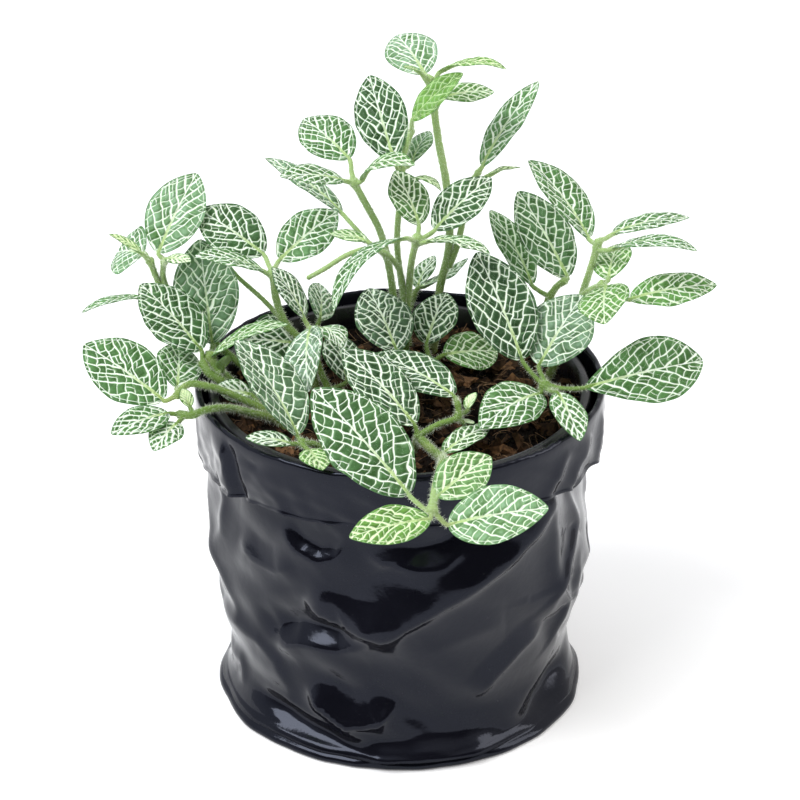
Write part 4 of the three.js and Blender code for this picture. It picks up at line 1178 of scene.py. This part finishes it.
# Creases: points, how far the crest stands out, and how far its slopes reach above it and below it.
WALL_CREASES = [
    ([(-60, 88), (-45, 86), (-36, 84), (-27, 77), (-21, 65), (-17, 51)], 1.0, 6, 8),
    ([(-86, 45), (-80, 34), (-64, 36), (-53, 35), (-45, 30), (-40, 22), (-39, 14)], 2.0, 3, 6),
    ([(-88, 20), (-76, 17), (-68, 18), (-65, 9)], 1.6, 2.5, 4),
    ([(-92, 78), (-84, 66), (-76, 52), (-66, 43), (-62, 36)], 2.0, 3.5, 6),
    ([(-75, 92), (-71, 80), (-72, 68), (-78, 60)], 1.2, 3, 3),
    ([(66, 88), (71, 72), (64, 66), (56, 56), (63, 46), (60, 34), (66, 24)], 2.6, 2.6, 5),
    ([(74, 60), (70, 48), (74, 36)], 1.0, 3, 4),
    ([(50, 97), (52, 84), (54, 70), (54.5, 56), (52, 44)], 3.0, 9, 5),
    ([(6, 46), (20, 50), (34, 52)], 1.0, 7, 7),
]
# Pockets over a sharp lower lip: points along the lip, depth, width of the lip's face, reach of the slope
# above it.
WALL_LEDGES = [
    ([(-40, 86), (-33, 80), (-26, 77.5), (-20, 80), (-15, 87)], 3.9, 4.7, 9),
    ([(-44, 34), (-40, 39), (-33, 43), (-26, 44), (-19, 44.5), (-13, 47), (-7, 51)], 4.8, 5.8, 14),
]
# Dents: centre (degrees, height), half-width in degrees, half-height, depth, tilt in degrees.
WALL_DENTS = [
    ((-33, 9.5), 19, 3.9, 4.6, -7),
    ((60, 10), 15, 6, 5.0, 12),
    ((-100, 30), 12, 9, 2.4, 20),
    ((100, 40), 9, 14, 2.4, -15),
]
# Creases in the cuff, listed like those in the wall.
CUFF_CREASES = [
    ([(-44, 108), (-37, 102), (-32, 95)], 0.8, 3, 3),
    ([(-48, 112), (-43, 110.5), (-38, 115)], -0.7, 1.5, 1.5),
    ([(43, 92), (47, 102), (53, 112)], 1.3, 3, 1.6),
    ([(52, 90), (57, 101), (66, 110)], 1.7, 4, 1.6),
    ([(70, 88), (75, 101), (76, 114)], 1.6, 3, 2),
    ([(-84, 88), (-80, 100), (-82, 112)], 0.8, 2.5, 2.5),
]
# A pleat in the cuff: height, degrees of its crest and of the groove at its right. Then how many degrees
# its slopes reach to the left of the crest and to the right of the groove.
CUFF_PLEAT = [(84, -53, -48.8), (92, -53.5, -49.6), (104, -55, -52), (117, -56.5, -55)]
PLEAT_LEFT, PLEAT_RIGHT = 9, 3
# The cuff's lower edge: degrees from the front, height.
CUFF_EDGE = [(-180, 94), (-150, 96), (-125, 92), (-100, 89), (-83, 87.5), (-70, 91.5), (-56, 93),
             (-46, 94.5), (-37, 96), (-20, 96), (0, 97), (17, 98), (46, 97), (57, 95), (86, 95), (110, 92),
             (140, 95), (180, 94)]


def crease_place(u, z, points):
    """How far places u, z on the unrolled wall lie from a line, whether above it, and their share along it."""
    line = np.array([(math.radians(a) * WALL_RADIUS, h) for a, h in points], float)
    length = path_length(line)
    nearest = np.full(u.shape, 1e9)
    above, share = np.zeros(u.shape, bool), np.zeros(u.shape)
    done = 0.0
    for a, b in zip(line, line[1:]):
        ahead = b - a
        span = np.linalg.norm(ahead)
        t = np.clip(((u - a[0]) * ahead[0] + (z - a[1]) * ahead[1]) / span ** 2, 0, 1)
        off_u, off_z = u - a[0] - t * ahead[0], z - a[1] - t * ahead[1]
        distance = np.hypot(off_u, off_z)
        closer = distance < nearest
        nearest = np.where(closer, distance, nearest)
        side = (ahead[0] * off_z - ahead[1] * off_u) * (1 if ahead[0] >= 0 else -1)
        above = np.where(closer, side > 0, above)
        share = np.where(closer, (done + t * span) / length, share)
        done += span
    if np.all(np.diff(line[:, 0]) > 0):
        above = z > np.interp(u, line[:, 0], line[:, 1])
    return nearest, above, share


def crease_height(u, z, points, stand, above, below):
    """The swell of a crease at places u, z on the unrolled wall, in millimetres."""
    nearest, over, share = crease_place(u, z, points)
    soft = np.sqrt(nearest ** 2 + 0.25) - 0.5
    fade = np.clip(4 * share * (1 - share), 0, 1) ** 0.7
    return stand * fade * np.exp(-(soft / np.where(over, above, below)) ** 1.25)


def fold_height(u, z, points, stand, above, below):
    """A fold: an even slope that faces up, over a lip with a short steep drop under it."""
    nearest, over, share = crease_place(u, z, points)
    up = np.clip(nearest / above, 0, 1)
    fade = smooth(share, 0, 0.24) * (1 - smooth(share, 0.76, 1))
    down = 0.3 * np.exp(-nearest / 1.6) + 0.7 * np.exp(-(nearest / below) ** 1.2)
    return stand * fade * np.where(over, (1 - up) ** 1.1, down)


def ledge_depth(u, z, points, depth, width, back):
    """The hollow above a sharp lip: a steep face that rises to the lip, and a long slope over it."""
    nearest, over, share = crease_place(u, z, points)
    face = np.where(over, np.minimum(nearest / width, 1), 0)
    slope = 1 - smooth(nearest, width, width + back)
    fade = smooth(share, 0, 0.3) * (1 - smooth(share, 0.72, 1))
    lip = 0.2 * np.where(over, 1 - face, np.exp(-(nearest / 5) ** 1.3))
    middle = math.radians(sum(a for a, _ in points) / len(points)) * WALL_RADIUS
    flatness = (u - middle) ** 2 / (2 * WALL_RADIUS) * np.exp(-(nearest / 7) ** 2)
    return fade * (depth * (lip - face * slope) + flatness)


def limited(value, low, high):
    """The value kept between -low and high: unchanged up to seven tenths of the way, then eased off."""
    room = np.maximum(np.where(value > 0, high, low), 0.05)
    far = np.abs(value) / room
    eased = np.where(far < 0.7, far, 0.7 + 0.3 * np.tanh((far - 0.7) / 0.3))
    return np.sign(value) * room * eased


def random_creases(rng, first, last, count):
    """Creases of the same kind as those at the front, for the sides and back."""
    made = []
    for _ in range(count):
        angle, height = rng.uniform(first, last), rng.uniform(12, 84)
        turn = rng.uniform(0, math.pi)
        points = []
        for _ in range(rng.integers(3, 6)):
            points.append((angle, min(max(height, 8), 90)))
            step = rng.uniform(9, 17)
            angle += math.degrees(step * math.cos(turn) / WALL_RADIUS)
            height += step * math.sin(turn)
            turn += rng.uniform(-0.9, 0.9)
        if points[0][0] > points[-1][0]:
            points.reverse()
        made.append((points, rng.uniform(0.9, 2.8), rng.uniform(3, 7), rng.uniform(5, 12)))
    return made


def wall_radius(z):
    return np.interp(z, WALL_HEIGHTS, WALL_RADII)


def pot_radius(z):
    """The nursery pot's wall, which the bag's folds stay clear of."""
    return POT_FLOOR_RADIUS + 15.4 * z / 108


def bag_rows():
    """The bag from the middle of its base, up its wall, over its mouth and down its cuff."""
    base = [("base", r, BASE_HEIGHT) for r in np.linspace(2.5, 59.5, 9)]
    hem = [("hem", r, z) for r, z in evenly(np.array(HEM), 12)]
    wall = [("wall", wall_radius(z), z) for z in np.linspace(5, 96, WALL_ROWS)]
    hidden = [("hidden", wall_radius(z), z) for z in np.linspace(98, 114, 9)]
    turns = np.linspace(math.pi, 0, 9)[1:]
    fold = [("fold", FOLD_RADIUS + FOLD_HALF_WIDTH * math.cos(a), FOLD_HEIGHT + FOLD_RISE * math.sin(a))
            for a in turns]
    cuff = [("cuff", share, 0) for share in np.linspace(0, 1, CUFF_ROWS + 1)[1:]]
    return base + hem + wall + hidden + fold + cuff


def swell(x, y, z, pitch, seed):
    """Random lumps on the bag's wall that change with the height too."""
    return lumps(x + 0.8 * z, y + 1.1 * z, pitch, seed, 2)


def wall_shift(x, y, z, degrees):
    """The wall's broad swells."""
    front = smooth(np.cos(np.radians(degrees)), 0.0, 0.5)
    shift = 1.5 * lumps(-y, x, 60, 20, 2) * smooth(z, 10, 40) * (1 - front)
    shift = shift + 1.7 * bell(z, 66, 22) * bell(degrees, -78, 26)
    shift = shift - 1.2 * bell(z, 20, 12) * smooth(np.abs(degrees), 50, 90)
    shift = shift - front * (2.4 * smooth(z, 50, 92) + 1.2 * (1 - smooth(z, 8, 40)))
    shift = shift + 3.4 * bell(z, 52, 20) * bell(degrees, 84, 24)
    return shift + 0.5 * swell(x, y, z, 45, 31)


def wall_hollows(u, z, degrees):
    """How far the wall's creases, folds, pockets and dents stand out."""
    rng = np.random.default_rng(8)
    hollows = 0
    for points, stand, above, below in WALL_CREASES + random_creases(rng, *SIDES, SIDE_CREASES):
        for wrap in (-360, 0):
            moved = [(a + wrap, h) for a, h in points]
            if min(a for a, _ in moved) < 190 and max(a for a, _ in moved) > -190:
                hollows = hollows + crease_height(u, z, moved, stand, above, below)
    for points, stand, above, below in WALL_FOLDS:
        hollows = hollows + fold_height(u, z, points, stand, above, below)
    for points, depth, width, back in WALL_LEDGES:
        hollows = hollows + ledge_depth(u, z, points, depth, width, back)
    side_dents = [((rng.uniform(110, 250), rng.uniform(8, 14)), rng.uniform(10, 20), 4.5,
                   rng.uniform(2, 4.5), 0) for _ in range(SIDE_DENTS)]
    for (angle, middle), half_angle, half_height, depth, tilt in WALL_DENTS + side_dents:
        away = (degrees - angle + 180) % 360 - 180
        a, b = np.radians(away) * WALL_RADIUS, z - middle
        c, s = math.cos(math.radians(tilt)), math.sin(math.radians(tilt))
        reach = (((a * c + b * s) / (math.radians(half_angle) * WALL_RADIUS)) ** 2
                 + ((b * c - a * s) / half_height) ** 2)
        hollows = hollows - depth * np.exp(-reach ** 1.5) * np.where(z < 4, smooth(z, 1.5, 4.5), 1)
    return hollows


def cuff_at_rest(share, u, degrees):
    """The cuff's radius and height without its creases, from the fold down to its uneven lower edge."""
    lower = np.interp(degrees, *zip(*CUFF_EDGE)) + 0.35 * lumps(u, 0 * u, 14, 9, 2)
    flare = 0.9 * share * smooth(-degrees, 60, 90)
    radius = CUFF_TOP_RADIUS - 2.0 * share + flare + 0.4 * np.sin(math.pi * share)
    return radius, CUFF_TOP + (lower - CUFF_TOP) * share


def cuff_slack(x, y, z, u, degrees, share):
    """How far the cuff's lumps, creases and pleat stand out."""
    slack = share * (0.7 * lumps(x, y, 40, 61, 2) + 0.35 * swell(x, y, z, 16, 62))
    for points, stand, above, below in CUFF_CREASES:
        slack = slack + crease_height(u, z, points, stand, above, below)
    levels, crests, grooves = zip(*CUFF_PLEAT)
    crest, groove = np.interp(z, levels, crests), np.interp(z, levels, grooves)
    part_way = (degrees - crest) / (groove - crest)
    left = CUFF_OUT * np.clip(1 - (crest - degrees) / PLEAT_LEFT, 0, 1)
    right = CUFF_IN * np.clip(1 - (degrees - groove) / PLEAT_RIGHT, 0, 1)
    between = CUFF_OUT - (CUFF_OUT - CUFF_IN) * part_way
    slack = slack + np.where(part_way < 0, left, np.where(part_way < 1, between, right))
    return np.clip(slack, CUFF_IN, CUFF_OUT) * smooth(share, 0.0, 0.35) + 0.8 * smooth(share, 0.955, 1.0)


def bag_mesh(finish):
    """One skin from the middle of the base to the cuff's lower edge, given the vinyl's thickness."""
    rows = bag_rows()
    kinds = np.array([row[0] for row in rows])
    turn = np.arange(BAG_COLUMNS) * 2 * math.pi / BAG_COLUMNS - math.pi
    theta = turn - FRONT_DENSITY * np.sin(turn)
    flat = np.zeros((len(rows), BAG_COLUMNS))
    radius = np.array([row[1] for row in rows], float)[:, None] + flat
    height = np.array([row[2] for row in rows], float)[:, None] + flat
    u, degrees = theta * WALL_RADIUS + flat, np.degrees(theta) + flat
    x, y = WALL_RADIUS * np.sin(theta), -WALL_RADIUS * np.cos(theta)

    wall = np.isin(kinds, ["hem", "wall", "hidden"])
    z = height[wall]
    at_front = smooth(np.cos(np.radians(degrees[wall])), -0.4, 0.5)
    moved = wall_shift(x, y, z, degrees[wall]) + wall_hollows(u[wall], z, degrees[wall])
    room_in = wall_radius(z) - (pot_radius(z) + 0.7)
    moved = limited(moved, room_in, np.interp(z, ROOM_HEIGHTS, ROOM_OUT))
    radius[wall] += moved * smooth(z, 1.0, 6.0) * (1 - smooth(z, 98, 108))
    radius[wall] += 2.4 * at_front * (1 - smooth(z, 4, 24)) * smooth(z, 3, 5)

    ripple = (0.5 * lumps(x, y, 24, 51, 2) + 4.2 * smooth(np.cos(theta), -0.4, 0.5) - 0.6) * 0.6
    hem, base = kinds == "hem", kinds == "base"
    radius[hem] += ripple
    radius[base] += ripple * smooth(radius[base], 40, 59)

    cuff = kinds == "cuff"
    share = radius[cuff]
    radius[cuff], height[cuff] = cuff_at_rest(share, u[cuff], degrees[cuff])
    radius[cuff] += cuff_slack(x, y, height[cuff], u[cuff], degrees[cuff], share)
    height[kinds == "fold"] += 0.25 * lumps(x, y, 30, 71, 2) + 0.15 * lumps(x, y, 7, 72, 2)

    points = np.stack([radius * np.sin(theta), -radius * np.cos(theta), height], -1)
    count = len(rows)
    columns = np.arange(BAG_COLUMNS)
    following = (columns + 1) % BAG_COLUMNS
    start = np.arange(count - 1)[:, None] * BAG_COLUMNS
    quads = np.stack([start + columns, start + following, start + BAG_COLUMNS + following,
                      start + BAG_COLUMNS + columns], -1).reshape(-1, 4)
    middle = count * BAG_COLUMNS
    fan = np.stack([np.full(BAG_COLUMNS, middle), following, columns], 1)
    points = np.vstack([points.reshape(-1, 3), (0, 0, BASE_HEIGHT)])
    bag = make_mesh("bag_planter_vinyl", points, [quads, fan], [finish["vinyl"]])
    skin = bag.modifiers.new("skin", "SOLIDIFY")
    skin.thickness, skin.offset, skin.use_even_offset = VINYL * MM, 0.0, True
    keep_modifiers(bag)
    face_outwards(bag)
    return bag


def vinyl_material():
    material, nodes, shader = new_material("black glossy vinyl", ior=1.32, specular_tint=(0.72, 0.79, 1.0, 1.0))
    spot = nodes.place()
    cloudy = nodes.noise(spot, 55, 4, 0.55)
    dust = nodes.noise(spot, 900, 3, 0.7)
    colour = nodes.blend(cloudy, (0.0035, 0.0036, 0.006), (0.0065, 0.0066, 0.010))
    colour = nodes.blend(nodes.ramp(dust, 0.62, 0.8, 0.0, 0.25), colour, (0.05, 0.05, 0.055))
    nodes.link(colour, shader.inputs["Base Color"])
    nodes.link(nodes.ramp(cloudy, 0.25, 0.75, 0.07, 0.14), shader.inputs["Roughness"])
    skin = nodes.bump(nodes.noise(spot, 260, 4, 0.6), 0.00016, 0.5)
    grain = nodes.bump(nodes.noise(spot, 2600, 2), 0.00002, 0.5, normal=skin)
    nodes.link(grain, shader.inputs["Normal"])
    return material


# ---- build ----

def all_finishes():
    peat = grit_material("dark peat", (0.003, 0.002, 0.0015), (0.014, 0.009, 0.006), 900)
    bark = grit_material("bark chips", (0.030, 0.015, 0.008), (0.27, 0.14, 0.065), 420, toned=True)
    crumb = grit_material("peat crumbs", (0.003, 0.002, 0.0014), (0.026, 0.014, 0.008), 700, toned=True)
    root = grit_material("fine roots", (0.09, 0.05, 0.025), (0.30, 0.19, 0.11), 400)
    return {
        "leaf": leaf_material(), "underside": underside_material(), "stem": stem_material(),
        "hair": hair_material(), "peat": peat, "bark": bark, "crumb": crumb, "root": root,
        "pot": pot_material(), "vinyl": vinyl_material(),
        "hair tree": hair_tree(), "chip tree": strewn_tree("strewn flakes", False),
        "crumb tree": strewn_tree("strewn crumbs", True), "fibre tree": fibre_tree(),
    }


def settle(piece, slot, *nodes):
    """Fixes a finished piece to the part in place of the solids it stands for."""
    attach(piece, "root")
    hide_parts(*nodes)


def rooted_stem(name):
    return STEMS[name].get("grows_from", name)


def build():
    make_camera()
    make_room()
    make_floor()
    finish = all_finishes()
    settle(bag_mesh(finish), "black_vinyl", "bag_planter")
    settle(make_nursery_pot(finish), "black_pot", "nursery_pot")
    settle(make_soil(finish), "soil", "potting_soil")
    for name, stem in STEMS.items():
        if "grows_from" not in stem:
            settle(make_stem(name, finish), "stem", "stem_" + name)
    for name, shape in LEAVES.items():
        node = "stem_" + rooted_stem(shape["stem"]) if shape["look"].get("joined") else "leaf_" + name
        slot = "young_leaf" if shape["look"].get("young", 0) > 0.5 else "leaf"
        settle(make_leaf(name, shape, finish), slot, node)


build()
bpy.context.scene.view_settings.view_transform = "Standard"
bpy.context.view_layer.update()
